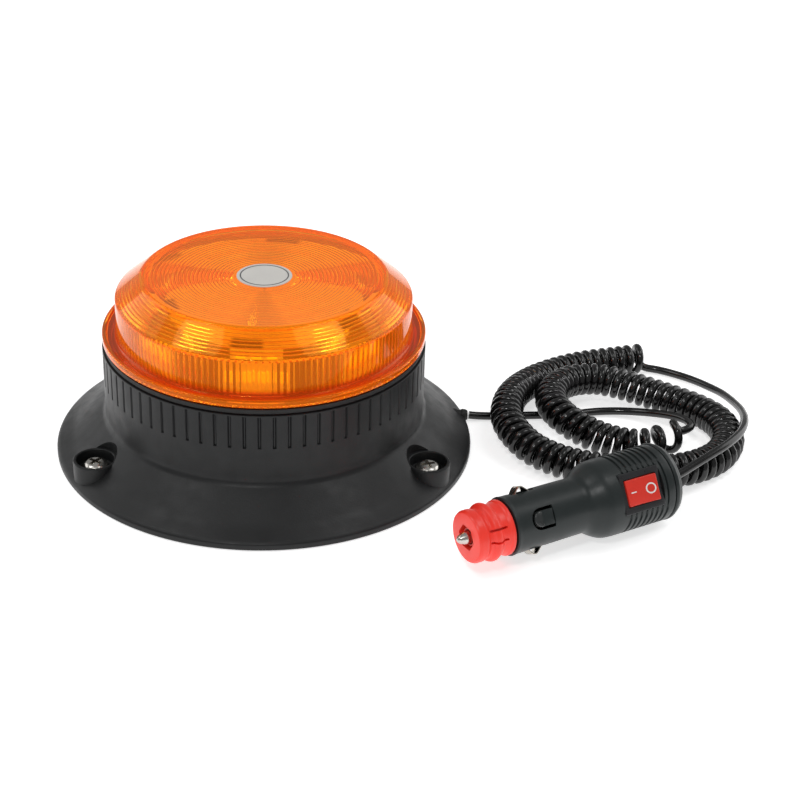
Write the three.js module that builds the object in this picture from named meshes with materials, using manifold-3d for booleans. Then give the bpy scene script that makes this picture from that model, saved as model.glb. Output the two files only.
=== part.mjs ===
// Low-profile amber LED warning beacon on a conical base, with a curly cord and a
// switched 12 V vehicle plug. Millimetres, +Z up, origin at the middle of the base's
// underside. The base's three screw bosses stand at 90, 210 and 330 degrees.

import * as THREE from "three";
import { mergeVertices } from "three/addons/utils/BufferGeometryUtils.js";
import Module from "manifold-3d";

const wasm = await Module();
wasm.setup();

// ---------------------------------------------------------------- driving sizes

const GAP = 0.3;
const ROUND = 60;
const SMALL_ROUND = 16;

const BASE_R = 80;
const WALL_R = 61;
const WALL_THICKNESS = 2.4;
const RIM_HEIGHT = 3.2;
const CONE_TOP = 16.6;
const WALL_TOP = 43.6;
const GRIP_BOTTOM = 30.5;
const GRIP_TOP = 42.9;
const GRIP_COUNT = 72;
const GRIP_DEPTH = 0.7;
const GRIP_SHARE = 0.22;
const SHELF_TOP = 35.5;
const SHELF_THICKNESS = 2.5;
const SHELF_INNER_R = 46;
const RECESS_R = 74.2;

const BOSS_CIRCLE_R = 71;
const BOSS_R = 8.2;
const BOSS_TOP = 11;
const BOSS_SLEEVE = 1.5;
const WELL_R = 6.9;
const WELL_FLOOR = 6.6;
const BOSS_HOLE_R = 2.5;
const BOSS_ANGLES = [90, 210, 330];

const PILLAR_CIRCLE_R = 52.5;
const PILLAR_R = 4.2;
const PILLAR_HOLE_R = 1.5;
const LOWER_HOLE_TOP = 14;
const UPPER_HOLE_DEPTH = 8;
const PILLAR_ANGLES = [30, 150, 270];

const PLATE_BOTTOM = 1.3;
const PLATE_THICKNESS = 1.6;
const PLATE_HOLE_R = 1.7;
const PAD_R = 44;
const MAGNET_R = 11;
const MAGNET_HEIGHT = 6;
const MAGNET_CIRCLE_R = 38;
const STANDOFF_R = 2.5;
const STANDOFF_TOP = 14;
const DRIVER_BOARD = [46, 32, 1.6];
const CAPACITOR_R = 5;
const CAPACITOR_HEIGHT = 12.2;
const INDUCTOR_INNER_R = 3;
const INDUCTOR_OUTER_R = 7;
const INDUCTOR_HEIGHT = 6;

const GASKET_HEIGHT = 2.2;
const LEDGE_BOTTOM = 41.3;
const LEDGE_TOP = 42.6;
const LENS_BOTTOM = WALL_TOP + GASKET_HEIGHT + 2 * GAP;
const FLANGE_R = 60.8;
const FLANGE_TOP = LENS_BOTTOM + 2.4;
const LENS_WALL_R = 55.5;
const LENS_SHOULDER = 63;
const LENS_TOP_R = 45.5;
const LENS_TOP = 70.7;
const LENS_DISH = 69.5;
const LENS_THICKNESS = 2.3;
const SPIGOT_R = 57.4;
const SPIGOT_THICKNESS = 2.2;
const SPIGOT_BOTTOM = 39.3;
const BAYONET_ANGLES = [0, 120, 240];
const BAYONET_ARC = 14;
const LABEL_R = 10.35;

const LED_BOARD_R = 55;
const BOARD_TOP = SHELF_TOP + GAP + 1.6;
const BOARD_HOLE_R = 1.6;
const WIRE_HOLE_R = 4;
const CARRIER_APOTHEM = 36;
const CARRIER_TOP = 57;
const CARRIER_THICKNESS = 2;
const MODULE_COUNT = 6;
const MODULE_SIZE = [20, 1.2, 15];
const MODULE_TURN = -93;
const CHIP_PLACES = [-6, 0, 6];
const CHIP_HALF = 1.8;
const CHIP_DEPTH = 0.9;
const REFLECTOR_R = 37;
const REFLECTOR_TOP_R = 8;
const REFLECTOR_EDGE = 1.2;
const REFLECTOR_HEIGHT = 4.5;

const EXIT_Y = 15.5;
const EXIT_Z = 2.4;
const EXIT_R = 2.6;
const GROMMET_R = 2.15;
const GROMMET_LENGTH = 5.6;

const CORD_R = 1.6;
const CURL_R = 6.6;

// Centre line of the curly part, from its inner end to its outer end.
const CURL_ROUTE = [
  [158.5, -9.5, 8.4], [150, -14, 7.1], [141, -15, 6.8], [131, -11, 7], [122, -5.5, 8.8],
  [115.5, 1.5, 10.5], [113, 10, 10.9], [114, 19, 10.8], [118, 26.5, 10.5], [125, 32, 10],
  [134, 34, 9.4], [143, 31.5, 8.8], [152, 27, 8], [161, 22, 7.2], [170, 15.5, 6.8],
  [177, 7, 6.8], [180, -3, 6.8], [178.7, -13.5, 6.8], [173, -23.5, 6.8], [163, -31, 6.8],
  [150, -35, 6.8], [137, -35.5, 6.8], [124, -33, 6.8], [112, -28, 7], [102, -20.5, 8.2],
  [96, -11, 10], [94, -2, 11], [95.2, 8, 11.2], [98.3, 18, 10.4], [103.2, 27.9, 8.8],
  [109.5, 36.7, 7.4], [117.5, 43.7, 6.8], [127, 49, 6.8], [136.5, 52.5, 6.8],
  [146, 55, 6.8], [155.5, 57.8, 6.8],
];

// From the beacon, under the curls and across the open middle, to their inner end.
const BEACON_LEAD_ROUTE = [
  [80.6, 15.5, 2.4], [84.5, 15.6, 2], [92, 16, 1.7], [100, 16.5, 1.7], [108, 17, 1.7],
  [116, 17.5, 1.7], [124, 18.4, 1.75], [132, 20, 1.9], [140, 20, 2.3], [147.5, 18, 3.2],
  [154.5, 14, 4.8], [160.5, 8.5, 6.8], [165, 2.5, 8.3], [166.3, -3, 9], [164.6, -6.2, 9.2],
  [161.6, -7.9, 8.9], [158.9, -9.3, 8.46],
];

// From the curls' outer end, round the right side and over the curls, to the plug.
const PLUG_LEAD_ROUTE = [
  [155.9, 57.9, 2.6], [158.8, 58.7, 2], [164, 57.6, 1.7], [170, 54, 1.8], [176.5, 47.8, 2.4],
  [181.8, 39, 3.8], [185.3, 29, 6], [187, 17, 8.8], [187.3, 4, 12], [185.5, -9, 14.8],
  [181, -21.5, 16.6], [173.5, -32.2, 17.2], [165.5, -39.5, 16.6], [158, -45.4, 15.4],
  [152.4, -49.7, 14.5], [148.7, -51.65, 14.3],
];

// The plug lies on its belly. Its own axes: x from the nose face to the rear, z out of
// the switch panel, y the other side.
const PLUG_NOSE = [71.52, -92.64, 14.5];
const PLUG_HEADING = 28;
const PLUG_ROLL = 59;
const NOSE_R = 9.4;
const BEAD_R = 10.5;
const BARREL_R = 10.3;
const BARREL_START = 14.9;
const BARREL_END = 45.5;
const BARREL_BORE_R = 8.6;
const BODY_R = 14.2;
const BODY_START = 54;
const BODY_END = 79.6;
const BODY_BORE_R = 11.6;
const CAP_END = 84;
const RELIEF_END = 87;
const PANEL_START = 57;
const PANEL_END = 74.5;
const PANEL_HEIGHT = 12.1;
const PANEL_MIDDLE = (PANEL_START + PANEL_END) / 2;
const RIB_COUNT = 8;
const RIB_PITCH = 2.3;
const RIB_START = 60;
const RIB_GROOVE = 0.9;
const RIB_DEPTH = 0.55;
const RIB_CLEAR = 8.4;
const HEX_R = 4.8;
const PIN_R = 2.4;
const CORE_R = 6.2;
const CORE_BORE_R = 5.5;
const CORE_START = 8.2;
const CORE_END = 44;
const CORE_FLANGE = [34, 36];
const COLLAR_R = 3.6;
const SPRING_START = 13;
const SPRING_END = 20.4;
const FUSE_R = 2.6;
const FUSE_START = 20.8;
const FUSE_END = 42;
const CONTACT_START = 20;
const CONTACT_END = 28.6;
const CONTACT_WIDTH = 4.6;
const LATCH_START = 21.8;
const LATCH_END = 29.8;
const LATCH_WIDTH = 6.4;
const ROCKER_PIVOT_Z = 11.7;
const ROCKER_R = 6.7;
const ROCKER_TILT = 8;
const ROCKER_HALF_WIDTH = 4.7;
const AXLE_R = 0.7;
const AXLE_HOLE_R = 1;
const OPENING = [7, 5];
const FRAME = [8, 6];

// -------------------------------------------------------------------- materials

const finish = (color, roughness, metalness = 0) =>
  new THREE.MeshStandardMaterial({ color, roughness, metalness });

const CHARCOAL = finish("#2c2e31", 0.55);
const PLUG_GREY = finish("#34383a", 0.5);
const AMBER = finish("#ff9a12", 0.18);
const RED = finish("#e63f2e", 0.38);
const BLACK_RUBBER = finish("#161617", 0.7);
const CORD_BLACK = finish("#121212", 0.25);
const LABEL_WHITE = finish("#e4e1d8", 0.6);
const STEEL = finish("#b9b8b2", 0.3, 1);
const SPRING_STEEL = finish("#a9a69c", 0.35, 1);
const BRASS = finish("#c9a45a", 0.35, 1);
const ALUMINIUM = finish("#c3c5c6", 0.4, 1);
const BOARD_WHITE = finish("#dcdccf", 0.5);
const BOARD_GREEN = finish("#2f5a3c", 0.5);
const MAGNET_GREY = finish("#5c5d5f", 0.5, 0.6);
const CAN_BLACK = finish("#1d1f26", 0.35);
const COPPER = finish("#a5603a", 0.4, 0.8);
const SWITCH_BLACK = finish("#1b1c1d", 0.35);
const GLASS = finish("#cfd6d4", 0.1);

// ---------------------------------------------------------------------- helpers

const radians = THREE.MathUtils.degToRad;

function solidOf(geometry) {
  const bare = geometry.index ? geometry.toNonIndexed() : geometry.clone();
  bare.deleteAttribute("normal");
  bare.deleteAttribute("uv");
  const merged = mergeVertices(bare, 1e-4);
  return new wasm.Manifold(
    new wasm.Mesh({
      numProp: 3,
      vertProperties: merged.attributes.position.array,
      triVerts: new Uint32Array(merged.index.array),
    }),
  );
}

function geometryOf(solid) {
  const mesh = solid.getMesh();
  const geometry = new THREE.BufferGeometry();
  geometry.setAttribute("position", new THREE.BufferAttribute(mesh.vertProperties, 3));
  geometry.setIndex(new THREE.BufferAttribute(mesh.triVerts, 1));
  geometry.computeVertexNormals();
  return geometry;
}

function addPart(group, name, solid, material) {
  const mesh = new THREE.Mesh(geometryOf(solid), material);
  mesh.name = name;
  group.add(mesh);
  return mesh;
}

// A solid turned about Z from a closed outline of [radius, height] points.
function turned(outline, segments = ROUND) {
  const points = outline.map(([r, z]) => new THREE.Vector2(r, z));
  const closes = outline[0][0] > 0 || outline[outline.length - 1][0] > 0;
  if (closes) {
    points.push(points[0].clone());
  }
  const geometry = new THREE.LatheGeometry(points, segments);
  geometry.rotateX(Math.PI / 2);
  return solidOf(geometry);
}

function cylinder(radius, bottom, top, x = 0, y = 0, segments = SMALL_ROUND) {
  const geometry = new THREE.CylinderGeometry(radius, radius, top - bottom, segments);
  geometry.rotateX(Math.PI / 2);
  geometry.translate(x, y, (bottom + top) / 2);
  return solidOf(geometry);
}

function box(low, high) {
  const size = high.map((value, axis) => value - low[axis]);
  const geometry = new THREE.BoxGeometry(...size);
  geometry.translate(...high.map((value, axis) => (value + low[axis]) / 2));
  return solidOf(geometry);
}

function extruded(points, bottom, top) {
  const shape = new THREE.Shape(points.map(([x, y]) => new THREE.Vector2(x, y)));
  const geometry = new THREE.ExtrudeGeometry(shape, { depth: top - bottom, bevelEnabled: false });
  geometry.translate(0, 0, bottom);
  return solidOf(geometry);
}

function joined(solids) {
  return solids.reduce((whole, piece) => whole.add(piece));
}

function polar(radius, degrees) {
  return [radius * Math.cos(radians(degrees)), radius * Math.sin(radians(degrees))];
}

// Part of a ring between two radii, centred on an angle.
function ringArc(innerR, outerR, bottom, top, middleAngle, arc) {
  const steps = 6;
  const points = [];
  for (let i = 0; i <= steps; i += 1) {
    points.push(polar(outerR, middleAngle - arc / 2 + (arc * i) / steps));
  }
  for (let i = steps; i >= 0; i -= 1) {
    points.push(polar(innerR, middleAngle - arc / 2 + (arc * i) / steps));
  }
  return extruded(points, bottom, top);
}

function tubeAlong(route, radius, sides, steps) {
  const curve = new THREE.CatmullRomCurve3(
    route.map((point) => new THREE.Vector3(...point)),
    false,
    "catmullrom",
    0.5,
  );
  const section = new THREE.Shape(
    Array.from({ length: sides }, (_, i) => new THREE.Vector2(...polar(radius, (360 * i) / sides))),
  );
  return solidOf(new THREE.ExtrudeGeometry(section, { steps, extrudePath: curve }));
}

// ------------------------------------------------------------------- base shell

function gripOutline() {
  const points = [];
  const pitch = 360 / GRIP_COUNT;
  const half = (pitch * GRIP_SHARE) / 2;
  for (let i = 0; i < GRIP_COUNT; i += 1) {
    const middle = i * pitch;
    points.push(polar(WALL_R, middle - half));
    points.push(polar(WALL_R - GRIP_DEPTH, middle));
    points.push(polar(WALL_R, middle + half));
  }
  return points;
}

// The outside of the shell above the floor, from the rim to just above the wall's foot.
const SKIRT_OUTLINE = [
  [BASE_R, 0.5],
  [BASE_R, RIM_HEIGHT - 0.9],
  [BASE_R - 0.9, RIM_HEIGHT],
  [BASE_R - 6, RIM_HEIGHT + 2.9],
  [WALL_R + 3.6, CONE_TOP - 3.2],
  [WALL_R + 1.5, CONE_TOP - 1.3],
  [WALL_R + 0.4, CONE_TOP + 0.6],
  [WALL_R, CONE_TOP + 2.4],
];

// A screw boss, with the sleeve that keeps the shell closed where the screwdriver's way
// cuts the cone.
function bossSolid(place) {
  const sleeve = cylinder(BOSS_R + BOSS_SLEEVE, BOSS_TOP - 2, CONE_TOP + 2.4, ...place, 28);
  const skirt = turned([[0, 0.5], ...SKIRT_OUTLINE, [0, CONE_TOP + 2.4]]);
  return cylinder(BOSS_R, 0, BOSS_TOP, ...place, 28).add(sleeve.intersect(skirt));
}

function baseShell() {
  const innerR = WALL_R - WALL_THICKNESS;
  const shell = turned([
    [RECESS_R, 0],
    [BASE_R - 0.5, 0],
    ...SKIRT_OUTLINE,
    [WALL_R, WALL_TOP - 0.4],
    [WALL_R - 0.4, WALL_TOP],
    [innerR, WALL_TOP],
    [innerR, CONE_TOP - 0.6],
    [RECESS_R, RIM_HEIGHT + 0.6],
  ]);
  const shelf = turned([
    [SHELF_INNER_R, SHELF_TOP - SHELF_THICKNESS],
    [innerR + 0.5, SHELF_TOP - SHELF_THICKNESS],
    [innerR + 0.5, SHELF_TOP],
    [SHELF_INNER_R, SHELF_TOP],
  ]);
  const bosses = BOSS_ANGLES.map((angle) => bossSolid(polar(BOSS_CIRCLE_R, angle)));
  const pillarFoot = PLATE_BOTTOM + PLATE_THICKNESS + GAP;
  const pillars = PILLAR_ANGLES.map((angle) =>
    cylinder(PILLAR_R, pillarFoot, SHELF_TOP - 1, ...polar(PILLAR_CIRCLE_R, angle)),
  );
  const ledges = BAYONET_ANGLES.map((angle) =>
    ringArc(SPIGOT_R + GAP, innerR + 0.4, LEDGE_BOTTOM, LEDGE_TOP, angle, BAYONET_ARC),
  );
  let body = joined([shell, shelf, ...bosses, ...pillars, ...ledges]);
  const gripCutter = cylinder(WALL_R + 2, GRIP_BOTTOM, GRIP_TOP, 0, 0, ROUND).subtract(
    extruded(gripOutline(), GRIP_BOTTOM - 1, GRIP_TOP + 1),
  );
  body = body.subtract(gripCutter);
  for (const angle of BOSS_ANGLES) {
    const place = polar(BOSS_CIRCLE_R, angle);
    body = body.subtract(cylinder(BOSS_R, BOSS_TOP, CONE_TOP + 4, ...place, 28));
    body = body.subtract(cylinder(WELL_R, WELL_FLOOR, BOSS_TOP + 1, ...place, 24));
    body = body.subtract(cylinder(BOSS_HOLE_R, -1, WELL_FLOOR + 1, ...place));
  }
  for (const angle of PILLAR_ANGLES) {
    const place = polar(PILLAR_CIRCLE_R, angle);
    body = body.subtract(cylinder(PILLAR_HOLE_R, 0, LOWER_HOLE_TOP, ...place, 12));
    const upperHole = cylinder(PILLAR_HOLE_R, SHELF_TOP - UPPER_HOLE_DEPTH, SHELF_TOP + 1, ...place, 12);
    body = body.subtract(upperHole);
  }
  return body.subtract(cordExit());
}

// The slot in the base's rim that the cord's grommet sits in.
function cordExit() {
  const start = RECESS_R - 6.2;
  const hole = cylinder(EXIT_R, 0, 20).rotate([0, 90, 0]).translate([start, EXIT_Y, EXIT_Z]);
  return hole.add(box([start, EXIT_Y - EXIT_R, -1], [start + 20, EXIT_Y + EXIT_R, EXIT_Z]));
}

function cordGrommet() {
  const front = Math.sqrt((BASE_R - 0.2) ** 2 - EXIT_Y ** 2);
  const barrel = cylinder(GROMMET_R, 0, GROMMET_LENGTH).rotate([0, 90, 0]);
  return barrel.translate([front - GROMMET_LENGTH, EXIT_Y, EXIT_Z]);
}

// A pan-head screw with a cross recess, its head's underside at seat.
function panScrew(headR, headHeight, shankR, shankLength, seat) {
  const head = turned(
    [
      [0, seat],
      [headR, seat],
      [headR, seat + headHeight * 0.45],
      [headR * 0.8, seat + headHeight * 0.9],
      [headR * 0.45, seat + headHeight],
      [0, seat + headHeight],
    ],
    24,
  );
  const shank = cylinder(shankR, seat - shankLength, seat + 0.2, 0, 0, 14);
  const slot = headR * 0.62;
  const half = headR * 0.14;
  const depth = headHeight * 0.55;
  const cross = box([-slot, -half, seat + depth], [slot, half, seat + headHeight + 1]).add(
    box([-half, -slot, seat + depth], [half, slot, seat + headHeight + 1]),
  );
  return head.add(shank).subtract(cross);
}

function basePlate() {
  const top = PLATE_BOTTOM + PLATE_THICKNESS;
  let plate = cylinder(RECESS_R - GAP - 0.2, PLATE_BOTTOM, top, 0, 0, ROUND);
  for (const angle of BOSS_ANGLES) {
    plate = plate.subtract(cylinder(BOSS_R + GAP + 0.1, 0, top + 1, ...polar(BOSS_CIRCLE_R, angle), 28));
  }
  for (const angle of PILLAR_ANGLES) {
    plate = plate.subtract(cylinder(PLATE_HOLE_R, 0, top + 1, ...polar(PILLAR_CIRCLE_R, angle)));
  }
  const [length, width] = DRIVER_BOARD;
  for (const x of [-1, 1]) {
    for (const y of [-1, 1]) {
      const place = [(x * (length - 8)) / 2, (y * (width - 8)) / 2];
      plate = plate.add(cylinder(STANDOFF_R, top - 0.2, STANDOFF_TOP, ...place, 12));
    }
  }
  const notch = box([RECESS_R - 8.2, EXIT_Y - EXIT_R - 0.4, 0], [BASE_R, EXIT_Y + EXIT_R + 0.4, top + 1]);
  return plate.subtract(notch);
}

function addBase(group) {
  addPart(group, "base_housing", baseShell(), CHARCOAL);
  addPart(group, "base_plate", basePlate(), STEEL);
  addPart(group, "rubber_pad", cylinder(PAD_R, 0, PLATE_BOTTOM - GAP, 0, 0, ROUND), BLACK_RUBBER);
  addPart(group, "cord_grommet", cordGrommet(), BLACK_RUBBER);
  BOSS_ANGLES.forEach((angle, i) => {
    const screw = addPart(group, `mounting_screw_${i + 1}`, panScrew(4.8, 3.2, 2, 6, 0), STEEL);
    screw.position.set(...polar(BOSS_CIRCLE_R, angle), WELL_FLOOR + GAP);
    screw.rotation.z = radians(angle + 24 * i);
  });
  PILLAR_ANGLES.forEach((angle, i) => {
    const screw = addPart(group, `plate_screw_${i + 1}`, panScrew(2.8, 0.9, 1.1, 9, 0), STEEL);
    screw.position.set(...polar(PILLAR_CIRCLE_R, angle), PLATE_BOTTOM - GAP);
    screw.rotation.x = Math.PI;
  });
}

// ---------------------------------------------------------- inside the base

function toroid(innerR, outerR, height, segments) {
  return turned([[innerR, 0], [outerR, 0], [outerR, height], [innerR, height]], segments);
}

function addElectronics(group) {
  const plateTop = PLATE_BOTTOM + PLATE_THICKNESS;
  PILLAR_ANGLES.forEach((angle, i) => {
    const [x, y] = polar(MAGNET_CIRCLE_R, angle + 60);
    const magnet = cylinder(MAGNET_R, plateTop + GAP, plateTop + GAP + MAGNET_HEIGHT, x, y, 32);
    addPart(group, `magnet_${i + 1}`, magnet, MAGNET_GREY);
  });
  const [length, width, thickness] = DRIVER_BOARD;
  const boardBottom = STANDOFF_TOP + GAP;
  const boardTop = boardBottom + thickness;
  const board = box([-length / 2, -width / 2, boardBottom], [length / 2, width / 2, boardTop]);
  addPart(group, "driver_board", board, BOARD_GREEN);
  const partFoot = boardTop + GAP;
  const can = cylinder(CAPACITOR_R, partFoot, partFoot + CAPACITOR_HEIGHT, -12, 6, 24);
  addPart(group, "capacitor", can, CAN_BLACK);
  const coil = toroid(INDUCTOR_INNER_R, INDUCTOR_OUTER_R, INDUCTOR_HEIGHT, 24);
  addPart(group, "inductor", coil.translate([10, -5, partFoot]), COPPER);
}

// A six-sided outline whose flats face the light modules.
function hexagon(apothem) {
  const corner = apothem / Math.cos(Math.PI / 6);
  return Array.from({ length: 6 }, (_, i) => polar(corner, 60 * i + MODULE_TURN + 90));
}

function ledModule() {
  const [width, thickness, height] = MODULE_SIZE;
  let module = box([-width / 2, -thickness, 0], [width / 2, 0, height]);
  const middle = height / 2;
  for (const x of CHIP_PLACES) {
    const chip = box(
      [x - CHIP_HALF, -thickness - CHIP_DEPTH, middle - CHIP_HALF],
      [x + CHIP_HALF, -thickness + 0.1, middle + CHIP_HALF],
    );
    module = module.add(chip);
  }
  return module;
}

function addLights(group) {
  let board = cylinder(LED_BOARD_R, SHELF_TOP + GAP, BOARD_TOP, 0, 0, ROUND);
  board = board.subtract(cylinder(WIRE_HOLE_R, SHELF_TOP, BOARD_TOP + 1));
  for (const angle of PILLAR_ANGLES) {
    const place = polar(PILLAR_CIRCLE_R, angle);
    board = board.subtract(cylinder(BOARD_HOLE_R, SHELF_TOP, BOARD_TOP + 1, ...place, 14));
  }
  addPart(group, "led_board", board, BOARD_WHITE);
  PILLAR_ANGLES.forEach((angle, i) => {
    const screw = addPart(group, `board_screw_${i + 1}`, panScrew(2.4, 1.4, 1.1, 5, 0), STEEL);
    screw.position.set(...polar(PILLAR_CIRCLE_R, angle), BOARD_TOP + GAP);
  });
  const foot = BOARD_TOP + GAP;
  const carrier = extruded(hexagon(CARRIER_APOTHEM), foot, CARRIER_TOP).subtract(
    extruded(hexagon(CARRIER_APOTHEM - CARRIER_THICKNESS), foot - 1, CARRIER_TOP + 1),
  );
  addPart(group, "module_carrier", carrier, ALUMINIUM);
  for (let i = 0; i < MODULE_COUNT; i += 1) {
    const angle = 60 * i + MODULE_TURN;
    const module = addPart(group, `led_module_${i + 1}`, ledModule(), BOARD_WHITE);
    module.position.set(...polar(CARRIER_APOTHEM + GAP, angle), foot + 1.5);
    module.rotation.z = radians(angle + 90);
  }
  const seat = CARRIER_TOP + GAP;
  const cone = turned([
    [0, seat],
    [REFLECTOR_R, seat],
    [REFLECTOR_R, seat + REFLECTOR_EDGE],
    [REFLECTOR_TOP_R, seat + REFLECTOR_HEIGHT],
    [0, seat + REFLECTOR_HEIGHT],
  ], 48);
  addPart(group, "top_reflector", cone, ALUMINIUM);
}

// ------------------------------------------------------------------------- lens

function lensShell() {
  const inner = LENS_WALL_R - LENS_THICKNESS;
  const topInner = LENS_TOP_R - 2;
  const spigotInner = SPIGOT_R - SPIGOT_THICKNESS;
  const shell = turned([
    [0, LENS_DISH - LENS_THICKNESS],
    [topInner, LENS_TOP - LENS_THICKNESS - 0.3],
    [inner, LENS_SHOULDER - 1.6],
    [inner, LENS_BOTTOM + 1],
    [spigotInner, LENS_BOTTOM],
    [spigotInner, SPIGOT_BOTTOM],
    [SPIGOT_R, SPIGOT_BOTTOM],
    [SPIGOT_R, LENS_BOTTOM],
    [FLANGE_R - 0.4, LENS_BOTTOM],
    [FLANGE_R, LENS_BOTTOM + 0.4],
    [FLANGE_R, FLANGE_TOP],
    [FLANGE_R - 0.5, FLANGE_TOP + 0.5],
    [FLANGE_R - 1.6, FLANGE_TOP + 0.5],
    [FLANGE_R - 2, FLANGE_TOP - 0.4],
    [LENS_WALL_R + 0.6, FLANGE_TOP - 0.4],
    [LENS_WALL_R, FLANGE_TOP + 0.4],
    [LENS_WALL_R, LENS_SHOULDER - 0.6],
    [LENS_WALL_R - 0.6, LENS_SHOULDER],
    [LENS_TOP_R + 0.6, LENS_TOP - 0.5],
    [LENS_TOP_R, LENS_TOP],
    [LENS_TOP_R - 2, LENS_TOP - 0.1],
    [LENS_TOP_R * 0.6, LENS_DISH + 0.3],
    [LABEL_R + 0.8, LENS_DISH],
    [0, LENS_DISH],
  ]);
  const lugR = WALL_R - WALL_THICKNESS - 0.35;
  const lugTop = SPIGOT_BOTTOM + 1.5;
  const lugs = BAYONET_ANGLES.map((angle) =>
    ringArc(SPIGOT_R - 1, lugR, SPIGOT_BOTTOM, lugTop, angle, BAYONET_ARC),
  );
  return joined([shell, ...lugs]);
}

function addLens(group) {
  const gasketBottom = WALL_TOP + GAP;
  const gasket = turned([
    [SPIGOT_R + GAP + 0.2, gasketBottom],
    [WALL_R - 0.5, gasketBottom],
    [WALL_R - 0.5, gasketBottom + GASKET_HEIGHT - GAP],
    [SPIGOT_R + GAP + 0.2, gasketBottom + GASKET_HEIGHT - GAP],
  ]);
  addPart(group, "lens_gasket", gasket, BLACK_RUBBER);
  addPart(group, "lens", lensShell(), AMBER);
  const label = cylinder(LABEL_R, LENS_DISH + 0.05, LENS_DISH + 0.35, 0, 0, 48);
  addPart(group, "top_label", label, LABEL_WHITE);
}

// ------------------------------------------------------------------------- cord

function addCord(group) {
  addPart(group, "cord_lead_to_beacon", tubeAlong(BEACON_LEAD_ROUTE, CORD_R, 8, 24), CORD_BLACK);
  addPart(group, "curly_cord", tubeAlong(CURL_ROUTE, CURL_R, 10, 44), CORD_BLACK);
  addPart(group, "cord_lead_to_plug", tubeAlong(PLUG_LEAD_ROUTE, CORD_R, 8, 30), CORD_BLACK);
}

// ------------------------------------------------------------------------- plug

// A solid turned about the plug's own x axis from [station, radius] points.
function turnedAlongPlug(outline, segments = 28) {
  return turned(outline.map(([x, r]) => [r, x]), segments).rotate([0, 90, 0]);
}

// A plain tube about the plug's axis, between two stations.
function tubeRing(start, end, innerR, outerR, segments = 28) {
  return turnedAlongPlug([[start, innerR], [start, outerR], [end, outerR], [end, innerR]], segments);
}

// A plain rod on the plug's axis, between two stations.
function rod(start, end, radius, segments) {
  return turnedAlongPlug([[start, 0], [start, radius], [end, radius], [end, 0]], segments);
}

function plugBody() {
  let body = turnedAlongPlug([
    [BARREL_START, BARREL_BORE_R],
    [BARREL_START, BARREL_R + 0.1],
    [BARREL_START + 0.4, BARREL_R + 0.3],
    [BARREL_START + 1.6, BARREL_R],
    [BARREL_END, BARREL_R - 0.2],
    [BARREL_END + 2.4, BARREL_R + 0.9],
    [BARREL_END + 5, BODY_R - 1.4],
    [BARREL_END + 6.8, BODY_R - 0.35],
    [BODY_START, BODY_R],
    [BODY_END, BODY_R],
    [BODY_END, BODY_BORE_R],
    [BODY_START - 1, BODY_BORE_R],
    [BARREL_END + 1, BARREL_BORE_R],
  ]);
  body = body.subtract(box([PANEL_START, -9, PANEL_HEIGHT], [PANEL_END, 9, BODY_R + 1]));
  for (let i = 0; i < RIB_COUNT; i += 1) {
    const x = RIB_START + i * RIB_PITCH;
    const groove = tubeRing(x - RIB_GROOVE / 2, x + RIB_GROOVE / 2, BODY_R - RIB_DEPTH, BODY_R + 1);
    const ungrooved = box([x - 2, -RIB_CLEAR, -BODY_R - 2], [x + 2, RIB_CLEAR, BODY_R + 2]);
    body = body.subtract(groove.subtract(ungrooved));
  }
  const switchHole = box(
    [PANEL_MIDDLE - FRAME[0] - GAP, -FRAME[1] - GAP, 6],
    [PANEL_MIDDLE + FRAME[0] + GAP, FRAME[1] + GAP, BODY_R + 1],
  );
  const latchOutline = roundFronted(LATCH_START - 0.5, LATCH_END + 0.5, LATCH_WIDTH / 2 + 0.5);
  const latchSlot = extruded(latchOutline, 5, BODY_R + 2);
  const contactSlots = box(
    [CONTACT_START - 0.5, -BODY_R - 2, -CONTACT_WIDTH / 2 - 0.4],
    [CONTACT_END + 0.5, BODY_R + 2, CONTACT_WIDTH / 2 + 0.4],
  );
  return body.subtract(switchHole).subtract(latchSlot).subtract(contactSlots);
}

// An x-y outline that is straight at the rear and half round at the front.
function roundFronted(front, rear, halfWidth) {
  const points = [[rear, -halfWidth], [rear, halfWidth]];
  for (let i = 0; i <= 8; i += 1) {
    const [x, y] = polar(halfWidth, 90 + (180 * i) / 8);
    points.push([front + halfWidth + x, y]);
  }
  return points;
}

function rearCap() {
  const start = BODY_END + GAP;
  return turnedAlongPlug([
    [start, 3.6],
    [start, BODY_R - 0.1],
    [start + 0.7, BODY_R + 0.1],
    [start + 2, BODY_R],
    [CAP_END - 0.9, BODY_R - 1],
    [CAP_END, BODY_R - 2.4],
    [CAP_END, 3.6],
  ]);
}

function strainRelief() {
  return turnedAlongPlug([
    [CAP_END - 3, 0],
    [CAP_END - 3, 3.2],
    [CAP_END + 0.6, 3.2],
    [RELIEF_END - 0.4, 2.5],
    [RELIEF_END, 2.1],
    [RELIEF_END, 0],
  ], 20);
}

function switchFrame() {
  const bezel = box([PANEL_START + 0.2, -7.3, PANEL_HEIGHT + GAP], [PANEL_END - 0.2, 7.3, PANEL_HEIGHT + 1]);
  const [tubX, tubY] = FRAME;
  const [openX, openY] = OPENING;
  const tub = box([PANEL_MIDDLE - tubX, -tubY, 5], [PANEL_MIDDLE + tubX, tubY, PANEL_HEIGHT + 0.5]);
  const opening = box(
    [PANEL_MIDDLE - openX, -openY, 6],
    [PANEL_MIDDLE + openX, openY, PANEL_HEIGHT + 2],
  );
  const bearing = cylinder(AXLE_HOLE_R, -tubY - 1, tubY + 1).rotate([90, 0, 0]);
  return bezel.add(tub).subtract(opening).subtract(bearing.translate([PANEL_MIDDLE, 0, ROCKER_PIVOT_Z]));
}

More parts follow.
